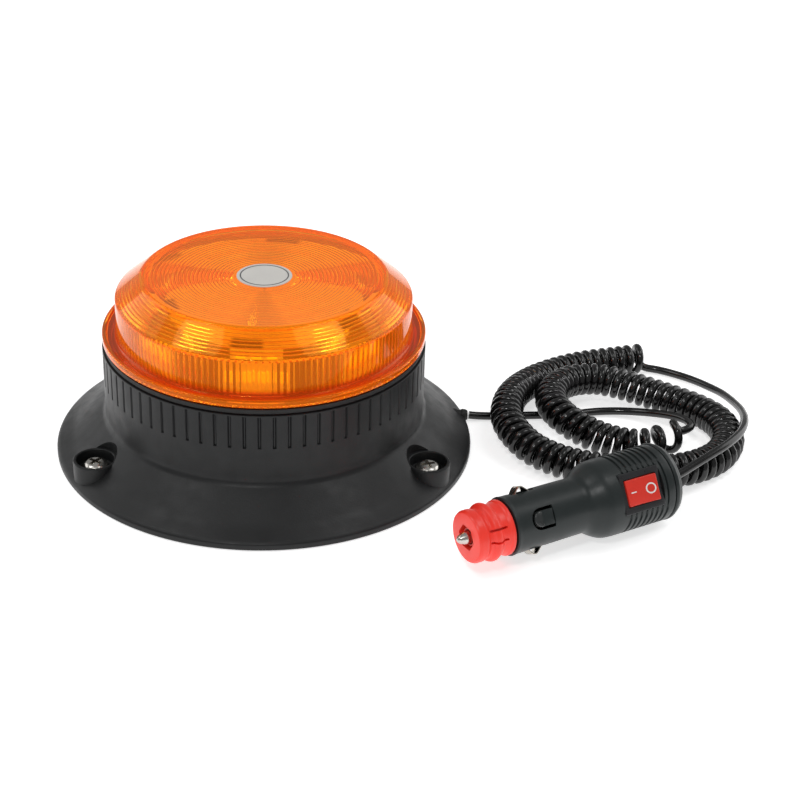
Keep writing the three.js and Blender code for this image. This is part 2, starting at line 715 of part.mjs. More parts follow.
// The rocker lies with its rear end raised and its front end pressed in.
function rocker() {
  const rearEnd = Array.from({ length: 7 }, (_, i) => polar(ROCKER_R, -18 + 7 * i));
  const frontEnd = Array.from({ length: 7 }, (_, i) => polar(ROCKER_R, 156 + 7 * i));
  const points = [...rearEnd, [0, 1.9], ...frontEnd];
  const profile = extruded(points, -ROCKER_HALF_WIDTH, ROCKER_HALF_WIDTH).rotate([90, 0, 0]);
  const cap = profile.rotate([0, -ROCKER_TILT, 0]).translate([PANEL_MIDDLE, 0, ROCKER_PIVOT_Z]);
  const axle = cylinder(AXLE_R, 0.2 - FRAME[1], FRAME[1] - 0.2, 0, 0, 14).rotate([90, 0, 0]);
  return cap.add(axle.translate([PANEL_MIDDLE, 0, ROCKER_PIVOT_Z]));
}

function adapterRing() {
  let ring = turnedAlongPlug([
    [0, 0],
    [0, NOSE_R - 0.9],
    [0.3, NOSE_R - 0.3],
    [0.9, NOSE_R],
    [3.2, NOSE_R],
    [4, NOSE_R - 0.5],
    [6.3, NOSE_R - 0.3],
    [7.1, BEAD_R - 0.4],
    [7.8, BEAD_R],
    [8.5, BEAD_R - 0.4],
    [9.3, NOSE_R - 0.4],
    [12.8, NOSE_R + 0.1],
    [13.2, NOSE_R + 0.5],
    [14.3, NOSE_R + 0.5],
    [14.5, NOSE_R - 0.4],
    [14.5, BARREL_BORE_R - GAP],
    [18.8, BARREL_BORE_R - GAP],
    [18.8, 0],
  ]);
  const bore = rod(5.8, 20, CORE_R + 0.4, 24);
  const hexPoints = Array.from({ length: 6 }, (_, i) => polar(HEX_R, 60 * i + 30));
  const hexHole = extruded(hexPoints, -1, 7).rotate([0, 90, 0]);
  ring = ring.subtract(bore).subtract(hexHole);
  for (const angle of [4, -23]) {
    const slot = box([3.5, -0.4, 0], [10.5, 0.4, BEAD_R + 2]).subtract(box([0, -2, -1], [12, 2, 7.6]));
    ring = ring.subtract(slot.rotate([-angle, 0, 0]));
  }
  return ring;
}

function pinCollar() {
  return turnedAlongPlug([
    [0.6, PIN_R + GAP],
    [0.6, COLLAR_R - 0.4],
    [1, COLLAR_R],
    [6.4, COLLAR_R],
    [6.4, CORE_R - GAP],
    [CORE_START - GAP, CORE_R - GAP],
    [CORE_START - GAP, PIN_R + GAP],
  ], 24);
}

function collarRing() {
  return tubeRing(2.2, 4.4, COLLAR_R + 0.15, COLLAR_R + 0.45, 24);
}

function contactPin() {
  return turnedAlongPlug([
    [-3.7, 0],
    [-3.7, 0.7],
    [-3.2, 1.4],
    [-1.4, 2.1],
    [-0.6, PIN_R],
    [CORE_START, PIN_R],
    [CORE_START, CORE_BORE_R - GAP],
    [CORE_START + 1.4, CORE_BORE_R - GAP],
    [CORE_START + 1.4, 0],
  ], 28);
}

function innerCore() {
  const tube = tubeRing(CORE_START, CORE_END, CORE_BORE_R, CORE_R, 24);
  const flange = tubeRing(...CORE_FLANGE, CORE_BORE_R + 0.1, BARREL_BORE_R - GAP, 24);
  return tube.add(flange);
}

function pinSpring() {
  return tubeRing(SPRING_START, SPRING_END, 3.2, 4.3, 20);
}

function earthContact() {
  const peak = BARREL_R + 2.1;
  const low = BARREL_R - 1.1;
  const thickness = 0.5;
  const middle = (CONTACT_START + CONTACT_END) / 2 - 0.4;
  const upper = [
    [CONTACT_START, low],
    [CONTACT_START + 1.4, low + 1],
    [middle - 1, peak - 0.3],
    [middle, peak],
    [middle + 1, peak - 0.3],
    [CONTACT_END - 1.4, low + 1],
    [CONTACT_END, low],
  ];
  const lower = upper.map(([x, r]) => [x, r - thickness]).reverse();
  return extruded([...upper, ...lower], -CONTACT_WIDTH / 2, CONTACT_WIDTH / 2);
}

function latchTab() {
  const tabOutline = roundFronted(LATCH_START, LATCH_END, LATCH_WIDTH / 2);
  const buttonOutline = roundFronted(LATCH_START + 0.3, LATCH_START + 4, LATCH_WIDTH / 2 - 0.3);
  const flat = extruded(tabOutline, BARREL_R - 2, BARREL_R - 0.4);
  return flat.add(extruded(buttonOutline, BARREL_R - 1, BARREL_R + 0.3));
}

function makePlug() {
  const plug = new THREE.Group();
  const along = new THREE.Vector3(Math.cos(radians(PLUG_HEADING)), Math.sin(radians(PLUG_HEADING)), 0);
  const level = new THREE.Vector3(along.y, -along.x, 0);
  const panelNormal = new THREE.Vector3(0, 0, 1)
    .multiplyScalar(Math.cos(radians(PLUG_ROLL)))
    .addScaledVector(level, Math.sin(radians(PLUG_ROLL)));
  const side = new THREE.Vector3().crossVectors(panelNormal, along);
  plug.setRotationFromMatrix(new THREE.Matrix4().makeBasis(along, side, panelNormal));
  plug.position.set(...PLUG_NOSE);

  addPart(plug, "plug_body", plugBody(), PLUG_GREY);
  addPart(plug, "plug_rear_cap", rearCap(), PLUG_GREY);
  addPart(plug, "plug_strain_relief", strainRelief(), BLACK_RUBBER);
  addPart(plug, "switch_frame", switchFrame(), SWITCH_BLACK);
  addPart(plug, "switch_rocker", rocker(), RED);
  addPart(plug, "plug_adapter", adapterRing(), RED);
  addPart(plug, "pin_collar", pinCollar(), RED);
  addPart(plug, "collar_ring", collarRing(), BRASS);
  addPart(plug, "contact_pin", contactPin(), STEEL);
  addPart(plug, "pin_spring", pinSpring(), SPRING_STEEL);
  addPart(plug, "inner_core", innerCore(), SWITCH_BLACK);
  addPart(plug, "fuse", rod(FUSE_START, FUSE_END, FUSE_R, 20), GLASS);
  addPart(plug, "earth_contact_1", earthContact(), SPRING_STEEL);
  const downContact = addPart(plug, "earth_contact_2", earthContact(), SPRING_STEEL);
  downContact.rotation.x = Math.PI;
  addPart(plug, "latch_tab", latchTab(), PLUG_GREY);
  addPart(plug, "plug_board", box([56, -8, -5], [77, 8, -3.4]), BOARD_GREEN);
  return plug;
}

// --------------------------------------------------------------------- assembly

const beacon = new THREE.Group();
addBase(beacon);
addElectronics(beacon);
addLights(beacon);
addLens(beacon);
addCord(beacon);
beacon.add(makePlug());

export default beacon;
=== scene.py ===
# Amber LED warning beacon with a curly cord and a switched vehicle plug: the looks.
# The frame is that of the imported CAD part, in metres. Outlines are written in millimetres.

import math

import bmesh
import bpy
import numpy as np
from mathutils import Matrix, Vector


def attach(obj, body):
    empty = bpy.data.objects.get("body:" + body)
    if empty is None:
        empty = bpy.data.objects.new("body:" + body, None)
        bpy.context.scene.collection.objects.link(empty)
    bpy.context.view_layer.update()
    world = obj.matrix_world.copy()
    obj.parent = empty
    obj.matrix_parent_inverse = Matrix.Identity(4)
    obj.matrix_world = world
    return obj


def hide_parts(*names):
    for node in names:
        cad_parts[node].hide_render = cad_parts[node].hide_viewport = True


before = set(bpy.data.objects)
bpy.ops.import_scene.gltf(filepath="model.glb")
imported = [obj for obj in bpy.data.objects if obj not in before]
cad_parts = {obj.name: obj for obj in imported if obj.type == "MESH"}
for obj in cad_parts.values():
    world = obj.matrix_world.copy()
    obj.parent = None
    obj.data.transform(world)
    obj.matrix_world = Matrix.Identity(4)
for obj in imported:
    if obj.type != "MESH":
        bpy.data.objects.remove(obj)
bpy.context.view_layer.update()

MM = 0.001
TAU = 2 * math.pi
# Lays a piece turned about Z along X instead.
AXIS_ALONG_X = Matrix(((0, 0, 1, 0), (1, 0, 0, 0), (0, 1, 0, 0), (0, 0, 0, 1)))

# ------------------------------------------------------------------ driving sizes

WALL_R = 61 * MM
GRIP_BOTTOM = 30.5 * MM
GRIP_TOP = 42.9 * MM
GRIP_COUNT = 72
GRIP_DEPTH = 0.7 * MM
BOSS_CIRCLE_R = 71 * MM
SCREW_HEAD_R = 4.8 * MM
SCREW_HEAD_HEIGHT = 3.2 * MM
EXIT_Y = 15.5 * MM
EXIT_Z = 2.4 * MM
WELL_FLOOR = 6.6 * MM
BOSS_ANGLES = (90, 210, 330)

SPIGOT_BOTTOM = 39.3 * MM
LENS_FLUTES = 144
RING_PITCH = 1.7 * MM
# Blender's wave texture runs through this many radians in one unit at a scale of 1.
WAVE_RADIANS = 20
# Lighter and darker amber in rings across the lens: painted highlights and shade of its ridges.
LENS_RING_HIGHLIGHT = (1.0, 0.50, 0.02)
LENS_RING_SHADE = (1.0, 0.34, 0.010)
LENS_THICK = (0.72, 0.06, 0.012)

MODULE_COUNT = 6
MODULE_CIRCLE_R = 36.3 * MM
MODULE_FOOT = 39.2 * MM
MODULE_ANGLE = -93
# Six narrow dark sectors at the reflector's edge: where they lie and how far apart. The same dark colour
# is also its painted shade at front and back.
DARK_SECTOR_ANGLE = 97
DARK_SECTOR_SPACING = 60
SECTOR_AND_SHADE_DARK = (0.02, 0.012, 0.01)
REFLECTOR_WHITE = (0.86, 0.86, 0.84)

CORD_R = 1.6 * MM
CURL_R = 6.6 * MM
CURL_PITCH = 3.75 * MM
# The curls open up towards their ends: over what length, and by how much in pitch.
CURL_INNER_STRETCH = (22 * MM, 4.5 * MM)
CURL_OUTER_STRETCH = (6 * MM, 2 * MM)
POINTS_PER_TURN = 20

# In millimetres: the bosses, and stations and radii along the plug's axis.
BOSS_R = 8.2
BOSS_TOP = 11
SLEEVE_R = 9.7
SLEEVE_TOP = 18.9
PLUG_BODY_R = 14.2
RIB_FLOOR_R = 13.4
ROCKER_STATION = 65.75
ROCKER_HEIGHT = 11.7
ROCKER_R = 6.7
ROCKER_REST_TILT = -8
HEXAGON_R = 4.8
SPRING_TURNS = 7
SPRING_START = 13.3
SPRING_LENGTH = 6.8
SPRING_R = 3.75
SPRING_WIRE_R = 0.28
# Where the cord passes inside the plug.
CORD_IN_PLUG = (84, 78, 72, 66, 60, 54, 50)
PLUG_NOSE = Vector((71.52, -92.64, 14.5)) * MM
PLUG_HEADING = math.radians(28)
PLUG_ROLL = math.radians(59)
# The grip ribs of the plug: their pitch and the first one's station are in millimetres.
RIB_COUNT = 8
RIB_PITCH = 2.3
RIB_START = 60

# Centre line of the curly part, from its inner end to its outer end.
CURL_ROUTE = [
    (0.1585, -0.0095, 0.0084), (0.1500, -0.0140, 0.0071), (0.1410, -0.0150, 0.0068),
    (0.1310, -0.0110, 0.0070), (0.1220, -0.0055, 0.0088), (0.1155, 0.0015, 0.0105),
    (0.1130, 0.0100, 0.0109), (0.1140, 0.0190, 0.0108), (0.1180, 0.0265, 0.0105),
    (0.1250, 0.0320, 0.0100), (0.1340, 0.0340, 0.0094), (0.1430, 0.0315, 0.0088),
    (0.1520, 0.0270, 0.0080), (0.1610, 0.0220, 0.0072), (0.1700, 0.0155, 0.0068),
    (0.1770, 0.0070, 0.0068), (0.1800, -0.0030, 0.0068), (0.1787, -0.0135, 0.0068),
    (0.1730, -0.0235, 0.0068), (0.1630, -0.0310, 0.0068), (0.1500, -0.0350, 0.0068),
    (0.1370, -0.0355, 0.0068), (0.1240, -0.0330, 0.0068), (0.1120, -0.0280, 0.0070),
    (0.1020, -0.0205, 0.0082), (0.0960, -0.0110, 0.0100), (0.0940, -0.0020, 0.0110),
    (0.0952, 0.0080, 0.0112), (0.0983, 0.0180, 0.0104), (0.1032, 0.0279, 0.0088),
    (0.1095, 0.0367, 0.0074), (0.1175, 0.0437, 0.0068), (0.1270, 0.0490, 0.0068),
    (0.1365, 0.0525, 0.0068), (0.1460, 0.0550, 0.0068), (0.1555, 0.0578, 0.0068),
]

# From the beacon, under the curls and across the open middle, to their inner end.
BEACON_LEAD_ROUTE = [
    (0.0806, 0.0155, 0.0024), (0.0845, 0.0156, 0.0020), (0.0920, 0.0160, 0.0017),
    (0.1000, 0.0165, 0.0017), (0.1080, 0.0170, 0.0017), (0.1160, 0.0175, 0.0017),
    (0.1240, 0.0184, 0.00175), (0.1320, 0.0200, 0.0019), (0.1400, 0.0200, 0.0023),
    (0.1475, 0.0180, 0.0032), (0.1545, 0.0140, 0.0048), (0.1605, 0.0085, 0.0068),
    (0.1650, 0.0025, 0.0083), (0.1663, -0.0030, 0.0090), (0.1646, -0.0062, 0.0092),
    (0.1616, -0.0079, 0.0089), (0.1589, -0.0093, 0.00846),
]

# From the curls' outer end, round the right side and over the curls, to the plug.
PLUG_LEAD_ROUTE = [
    (0.1559, 0.0579, 0.0026), (0.1588, 0.0587, 0.0020), (0.1640, 0.0576, 0.0017),
    (0.1700, 0.0540, 0.0018), (0.1765, 0.0478, 0.0024), (0.1818, 0.0390, 0.0038),
    (0.1853, 0.0290, 0.0060), (0.1870, 0.0170, 0.0088), (0.1873, 0.0040, 0.0120),
    (0.1855, -0.0090, 0.0148), (0.1810, -0.0215, 0.0166), (0.1735, -0.0322, 0.0172),
    (0.1655, -0.0395, 0.0166), (0.1580, -0.0454, 0.0154), (0.1524, -0.0497, 0.0145),
    (0.1487, -0.05165, 0.0143),
]

CORD_NODES = ("cord_lead_to_beacon", "curly_cord", "cord_lead_to_plug")

# ------------------------------------------------------------------------- camera


def make_camera():
    """The camera sees the beacon from the front, a little above, with a slight roll."""
    heading = math.radians(-3)
    pitch = math.radians(28.6)
    roll = math.radians(1.97)
    forward = Vector((0, math.cos(pitch), -math.sin(pitch)))
    right = Vector((1, 0, 0))
    up = right.cross(forward)
    rolled_right = right * math.cos(roll) + up * math.sin(roll)
    rolled_up = up * math.cos(roll) - right * math.sin(roll)
    axes = Matrix((rolled_right, rolled_up, -forward)).transposed()
    turn = Matrix.Rotation(heading, 4, "Z")
    place = Matrix.Translation((0.052, -0.589, 0.340)) @ axes.to_4x4()
    data = bpy.data.cameras.new("camera")
    data.sensor_width = 36
    data.lens = 78.2
    data.clip_start = 0.01
    data.dof.use_dof = False
    camera = bpy.data.objects.new("camera", data)
    camera.matrix_world = turn @ place
    bpy.context.scene.collection.objects.link(camera)
    bpy.context.scene.camera = camera


# ------------------------------------------------------------------------ helpers


def millimetres(outline):
    return [(x * MM, y * MM) for x, y in outline]


def link(name, mesh):
    piece = bpy.data.objects.new(name, mesh)
    bpy.context.scene.collection.objects.link(piece)
    return piece


def mesh_piece(name, points, faces, sharp_degrees=32):
    mesh = bpy.data.meshes.new(name)
    mesh.from_pydata([tuple(p) for p in points], [], faces)
    work = bmesh.new()
    work.from_mesh(mesh)
    bmesh.ops.remove_doubles(work, verts=work.verts, dist=1e-7)
    bmesh.ops.recalc_face_normals(work, faces=work.faces)
    work.to_mesh(mesh)
    work.free()
    smooth(mesh, sharp_degrees)
    return link(name, mesh)


def smooth(mesh, sharp_degrees=32):
    mesh.shade_smooth()
    mesh.set_sharp_from_angle(angle=math.radians(sharp_degrees))


def rounded(outline, steps=4):
    """A closed outline of (x, y, radius) corners, with each corner turned into an arc."""
    points = []
    count = len(outline)
    for i, (x, y, radius) in enumerate(outline):
        corner = Vector((x, y))
        if radius <= 0:
            points.append(corner)
            continue
        before = Vector(outline[i - 1][:2]) - corner
        after = Vector(outline[(i + 1) % count][:2]) - corner
        reach = min(radius, before.length * 0.45, after.length * 0.45)
        start = corner + before.normalized() * reach
        end = corner + after.normalized() * reach
        for k in range(steps + 1):
            t = k / steps
            points.append(start * (1 - t) ** 2 + corner * 2 * t * (1 - t) + end * t**2)
    return [(p.x, p.y) for p in points]


def turned(name, outline, segments=128, reshape=None, sharp_degrees=32, angles=None):
    """A solid turned about Z from a closed outline of (radius, height) points.
    reshape(radius, height, angle) may return a changed radius and height."""
    if angles is None:
        angles = [TAU * k / segments for k in range(segments)]
    rows = len(outline)
    points = []
    for angle in angles:
        for radius, height in outline:
            if reshape:
                r, z = reshape(radius, height, angle)
            else:
                r, z = radius, height
            points.append((r * math.cos(angle), r * math.sin(angle), z))
    faces = []
    turns = len(angles)
    for k in range(turns):
        after = (k + 1) % turns
        for row in range(rows):
            below = (row + 1) % rows
            on_axis = outline[row][0] < 1e-9 and outline[below][0] < 1e-9
            if not on_axis:
                faces.append((k * rows + row, after * rows + row, after * rows + below, k * rows + below))
    return mesh_piece(name, points, faces, sharp_degrees)


def prism(name, outline, low, high, sharp_degrees=32):
    """A bar with a closed x-y outline, from one height to another."""
    count = len(outline)
    points = [(x, y, low) for x, y in outline] + [(x, y, high) for x, y in outline]
    faces = [tuple(range(count)), tuple(range(count, 2 * count))]
    for i in range(count):
        after = (i + 1) % count
        faces.append((i, after, count + after, count + i))
    return mesh_piece(name, points, faces, sharp_degrees)


def box(name, low, high):
    outline = [(low[0], low[1]), (high[0], low[1]), (high[0], high[1]), (low[0], high[1])]
    return prism(name, outline, low[2], high[2])


def apply_modifiers(piece):
    graph = bpy.context.evaluated_depsgraph_get()
    mesh = bpy.data.meshes.new_from_object(piece.evaluated_get(graph))
    piece.modifiers.clear()
    old = piece.data
    piece.data = mesh
    mesh.name = piece.name
    bpy.data.meshes.remove(old)


def combine(piece, tool, operation="DIFFERENCE", sharp_degrees=32):
    """Cuts tool out of piece, or joins it on, and removes tool."""
    step = piece.modifiers.new("combine", "BOOLEAN")
    step.operation = operation
    step.solver = "EXACT"
    step.object = tool
    bpy.context.view_layer.update()
    apply_modifiers(piece)
    smooth(piece.data, sharp_degrees)
    bpy.data.objects.remove(tool)
    return piece


def bevelled(piece, width, segments=2, sharp_degrees=30):
    step = piece.modifiers.new("bevel", "BEVEL")
    step.width = width
    step.segments = segments
    step.limit_method = "ANGLE"
    step.angle_limit = math.radians(sharp_degrees)
    step.harden_normals = False
    bpy.context.view_layer.update()
    apply_modifiers(piece)
    smooth(piece.data, sharp_degrees)
    return piece


def merged(name, pieces):
    """Several pieces as one, with no cutting between them."""
    work = bmesh.new()
    for piece in pieces:
        part = piece.data
        part.transform(piece.matrix_world)
        work.from_mesh(part)
    mesh = bpy.data.meshes.new(name)
    work.to_mesh(mesh)
    work.free()
    for piece in pieces:
        bpy.data.objects.remove(piece)
    smooth(mesh)
    return link(name, mesh)


def finish_piece(piece, body, material, slot, *nodes):
    piece.data.materials.clear()
    piece.data.materials.append(material)
    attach(piece, body)
    if nodes:
        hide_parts(*nodes)
    return piece


def polar(radius, degrees):
    return radius * math.cos(math.radians(degrees)), radius * math.sin(math.radians(degrees))


# ---------------------------------------------------------------------- materials


class Shader:
    """A node material built round one Principled shader."""

    def __init__(self, name, color, roughness, metallic=0.0):
        self.material = bpy.data.materials.new(name)
        self.material.use_nodes = True
        self.tree = self.material.node_tree
        self.surface = self.tree.nodes["Principled BSDF"]
        self.color = color
        self.roughness = roughness
        self.set("Base Color", (*color, 1.0))
        self.set("Roughness", roughness)
        self.set("Metallic", metallic)
        self.bumps = None

    def set(self, socket, value):
        self.surface.inputs[socket].default_value = value

    def node(self, kind, **values):
        node = self.tree.nodes.new(kind)
        for key, value in values.items():
            if hasattr(node, key):
                setattr(node, key, value)
            else:
                node.inputs[key].default_value = value
        return node

    def join(self, source, target):
        self.tree.links.new(source, target)

    def math(self, operation, first, second=None):
        node = self.node("ShaderNodeMath", operation=operation)
        for socket, value in zip(node.inputs, (first, second)):
            if isinstance(value, bpy.types.NodeSocket):
                self.join(value, socket)
            elif value is not None:
                socket.default_value = value
        return node.outputs["Value"]

    def place(self, stretch=(1, 1, 1)):
        mapping = self.node("ShaderNodeMapping", Scale=stretch)
        self.join(self.where(), mapping.inputs["Vector"])
        return mapping.outputs["Vector"]

    def where(self):
        """The point being shaded, in metres."""
        return self.node("ShaderNodeTexCoord").outputs["Object"]

    def coordinates(self):
        split = self.node("ShaderNodeSeparateXYZ")
        self.join(self.where(), split.inputs[0])
        return split.outputs

    def radius(self):
        """The distance of the point from the Z axis."""
        flat = self.node("ShaderNodeVectorMath", operation="MULTIPLY")
        flat.inputs[1].default_value = (1, 1, 0)
        self.join(self.where(), flat.inputs[0])
        reach = self.node("ShaderNodeVectorMath", operation="LENGTH")
        self.join(flat.outputs["Vector"], reach.inputs[0])
        return reach.outputs["Value"]

    def mixed(self, first, second, factor):
        """A mix of two colours, the first of which may be a socket."""
        mix = self.node("ShaderNodeMix", data_type="RGBA")
        if isinstance(first, bpy.types.NodeSocket):
            self.join(first, mix.inputs["A"])
        else:
            mix.inputs["A"].default_value = (*first, 1.0)
        mix.inputs["B"].default_value = (*second, 1.0)
        self.join(factor, mix.inputs["Factor"])
        return mix.outputs["Result"]

    def noise(self, scale, detail=4.0, stretch=(1, 1, 1)):
        noise = self.node("ShaderNodeTexNoise", Scale=scale, Detail=detail)
        self.join(self.place(stretch), noise.inputs["Vector"])
        return noise.outputs["Fac"]

    def ranged(self, value, low, high, start=0.3, end=0.7):
        ramp = self.node("ShaderNodeMapRange")
        for key, number in (("From Min", start), ("From Max", end), ("To Min", low), ("To Max", high)):
            ramp.inputs[key].default_value = number
        self.join(value, ramp.inputs["Value"])
        return ramp.outputs["Result"]

    def vary_color(self, other, scale, start=0.35, end=0.7, stretch=(1, 1, 1)):
        patches = self.ranged(self.noise(scale, 5.0, stretch), 0, 1, start, end)
        self.join(self.mixed(self.color, other, patches), self.surface.inputs["Base Color"])
        return self

    def vary_roughness(self, spread, scale, stretch=(1, 1, 1)):
        value = self.ranged(
            self.noise(scale, 6.0, stretch),
            max(0.02, self.roughness - spread),
            min(1, self.roughness + spread),
        )
        self.join(value, self.surface.inputs["Roughness"])
        return self

    def bump(self, scale, height, strength=0.5, stretch=(1, 1, 1), detail=3.0):
        bump = self.node("ShaderNodeBump", Strength=strength, Distance=height)
        self.join(self.noise(scale, detail, stretch), bump.inputs["Height"])
        if self.bumps:
            self.join(self.bumps, bump.inputs["Normal"])
        self.bumps = bump.outputs["Normal"]
        self.join(self.bumps, self.surface.inputs["Normal"])
        return self


def moulded(name, color, roughness, shade, grain=2200, depth=0.00006, glow=0, gloss=0.5):
    """Moulded plastic with a fine spark-eroded grain; a part lit from inside has a glow of painted light.
    """
    shader = Shader(name, color, roughness)
    shader.set("Specular IOR Level", gloss)
    if glow:
        shader.set("Emission Color", (*color, 1))
        shader.set("Emission Strength", glow)
    shader.vary_color(shade, 60)
    shader.vary_roughness(0.06, 180)
    shader.bump(grain, depth, 0.35)
    shader.bump(90, 0.0001, 0.12)
    return shader.material


def metal(name, color, roughness, stretch=(1, 1, 1), depth=0.00002):
    shader = Shader(name, color, roughness, 1.0)
    shader.vary_roughness(0.1, 400, stretch)
    shader.vary_color(tuple(c * 0.8 for c in color), 150)
    shader.bump(900, depth, 0.3, stretch)
    return shader.material


def amber_lens():
    """Clear amber in fine rings of painted highlight and shade, with a faint painted glow, dark red low
    in the flange where the plastic is thick.
    """
    shader = Shader("amber_lens", (1.0, 0.45, 0.02), 0.06)
    shader.set("Transmission Weight", 0.88)
    # Painted light: the lens glows faintly in deep amber, though it is no lamp.
    shader.set("Emission Color", (1.0, 0.17, 0.012, 1))
    shader.set("Emission Strength", 0.10)
    shader.set("IOR", 1.49)
    shader.set("Specular Tint", (1.0, 0.5, 0.06, 1))
    # Painted highlight and shade: the base colour runs lighter and darker in fine rings.
    rings = shader.node("ShaderNodeTexWave", wave_type="RINGS", rings_direction="Z")
    rings.inputs["Scale"].default_value = TAU / (WAVE_RADIANS * RING_PITCH)
    rings.inputs["Distortion"].default_value = 0.3
    shader.join(shader.where(), rings.inputs["Vector"])
    ring_highlight_and_shade = shader.mixed(LENS_RING_HIGHLIGHT, LENS_RING_SHADE, rings.outputs["Fac"])
    low = shader.ranged(shader.coordinates()["Z"], 1, 0, 49.2 * MM, 50.4 * MM)
    inside = shader.ranged(shader.radius(), 1, 0, 59.2 * MM, 60.0 * MM)
    color = shader.mixed(ring_highlight_and_shade, LENS_THICK, shader.math("MULTIPLY", low, inside))
    shader.join(color, shader.surface.inputs["Base Color"])
    shader.vary_roughness(0.02, 120)
    shader.bump(35, 0.00008, 0.08)
    return shader.material


def reflector():
    """White moulding, darkened in six narrow sectors at its edge and, less, with painted shade near front
    and back.
    """
    shader = Shader("reflector", REFLECTOR_WHITE, 0.3)
    place = shader.coordinates()
    angle = shader.math("ARCTAN2", place["Y"], place["X"])
    # Two whole turns are added so that the remainder is never taken of a negative angle.
    middle = DARK_SECTOR_SPACING / 2
    shifted = shader.math("ADD", angle, math.radians(DARK_SECTOR_ANGLE + middle + 720))
    within = shader.math("MODULO", shifted, math.radians(DARK_SECTOR_SPACING))
    away = shader.math("ABSOLUTE", shader.math("SUBTRACT", within, math.radians(middle)))
    sector = shader.ranged(away, 1, 0, math.radians(7), math.radians(10))
    rim = shader.ranged(shader.radius(), 0, 1, 38 * MM, 40 * MM)
    # Painted shade: darker within a few degrees of front and back.
    facing = shader.math("ABSOLUTE", shader.math("SINE", angle))
    shaded = shader.ranged(facing, 0, 0.3, 0.94, 1)
    dark = shader.math("MAXIMUM", shader.math("MULTIPLY", sector, rim), shaded)
    color = shader.mixed(REFLECTOR_WHITE, SECTOR_AND_SHADE_DARK, dark)
    shader.join(color, shader.surface.inputs["Base Color"])
    # Painted light: the reflector glows in its own colour, though it is no lamp.
    shader.join(color, shader.surface.inputs["Emission Color"])
    shader.set("Emission Strength", 0.40)
    shader.vary_roughness(0.1, 200)
    shader.bump(400, 0.00005, 0.3)
    return shader.material


def make_materials():
    return {
        "charcoal": moulded(
            "charcoal_plastic", (0.012, 0.0125, 0.013), 0.42, (0.009, 0.0095, 0.010), 1500, 0.0001,
            gloss=0.3,
        ),
        "plug": moulded(
            "plug_plastic", (0.017, 0.022, 0.022), 0.36, (0.013, 0.018, 0.018), 2600, 0.00003, gloss=0.35,
        ),
        "amber": amber_lens(),
        "adapter_red": moulded(
            "adapter_red", (0.98, 0.044, 0.026), 0.34, (0.92, 0.038, 0.022), 1800, 0.00002,
        ),
        "red": moulded(
            "red_plastic", (0.74, 0.034, 0.018), 0.34, (0.66, 0.028, 0.015), 1800, 0.00002,
        ),
        "rubber": moulded(
            "black_rubber", (0.005, 0.005, 0.005), 0.6, (0.009, 0.009, 0.009), 1500, 0.00004,
        ),
        "cord": moulded(
            "cord_jacket", (0.004, 0.004, 0.004), 0.17, (0.006, 0.006, 0.006), 900, 0.00001,
        ),
        "label": moulded("label", (0.70, 0.68, 0.64), 0.55, (0.64, 0.62, 0.59), 1600, 0.00002),
        "label_ring": moulded(
            "label_ring", (0.10, 0.10, 0.11), 0.55, (0.08, 0.08, 0.09), 1600, 0.00002,
        ),
        "steel": metal("steel", (0.62, 0.60, 0.56), 0.2),
        "spring": metal("spring_steel", (0.66, 0.62, 0.55), 0.22, (1, 12, 1)),
        "brass": metal("brass", (0.70, 0.48, 0.18), 0.25),
        "aluminium": metal("aluminium", (0.62, 0.63, 0.64), 0.35, (1, 1, 14)),
        # Painted light: the module boards glow as if lit by their own chips. The LED board's copy, greyer
        # and without the glow, is painted shade.
        "board_white": moulded(
            "board_white", (0.80, 0.80, 0.72), 0.4, (0.70, 0.70, 0.62), glow=0.5,
        ),
        "board_white_painted_shade": moulded("board_white_painted_shade", (0.60, 0.60, 0.55), 0.45, (0.52, 0.52, 0.47)),
        "reflector": reflector(),
        "phosphor": moulded("phosphor", (0.9, 0.75, 0.15), 0.4, (0.80, 0.62, 0.10), glow=1.2),
        "board_green": moulded("board_green", (0.025, 0.10, 0.045), 0.35, (0.02, 0.07, 0.035)),
        "magnet": metal("magnet", (0.22, 0.22, 0.23), 0.4),
        "sleeve": moulded("capacitor_sleeve", (0.012, 0.013, 0.022), 0.3, (0.02, 0.02, 0.03)),
        "copper": metal("copper", (0.55, 0.22, 0.09), 0.35, (1, 1, 30), 0.0001),
        "switch": moulded(
            "switch_plastic", (0.012, 0.012, 0.013), 0.3, (0.018, 0.018, 0.02), 2000, 0.00002,
        ),
        "button": moulded(
            "button_plastic", (0.03, 0.033, 0.033), 0.18, (0.024, 0.027, 0.027), 2000, 0.00001,
        ),
        "glass": metal("fuse_glass", (0.7, 0.72, 0.72), 0.1),
        "mark": moulded("white_mark", (0.85, 0.82, 0.80), 0.4, (0.78, 0.75, 0.73), 1500, 0.00001),
    }


# --------------------------------------------------------------------------- cord


def along(route, step):
    """Points along a smooth curve through the route, about one step apart."""
    ends = [2 * Vector(route[0]) - Vector(route[1])]
    ends += [Vector(p) for p in route]
    ends.append(2 * Vector(route[-1]) - Vector(route[-2]))
    fine = []
    for i in range(1, len(ends) - 2):
        a, b, c, d = ends[i - 1 : i + 3]
        for k in range(24):
            t = k / 24
            square = 2 * a - 5 * b + 4 * c - d
            cube = 3 * b - a - 3 * c + d
            fine.append(0.5 * (2 * b + (c - a) * t + square * t**2 + cube * t**3))
    fine.append(ends[-2])
    points = np.array(fine)
    reach = np.concatenate([[0], np.cumsum(np.linalg.norm(np.diff(points, axis=0), axis=1))])
    count = max(2, round(reach[-1] / step))
    even = np.linspace(0, reach[-1], count + 1)
    return np.stack([np.interp(even, reach, points[:, axis]) for axis in range(3)], axis=1)


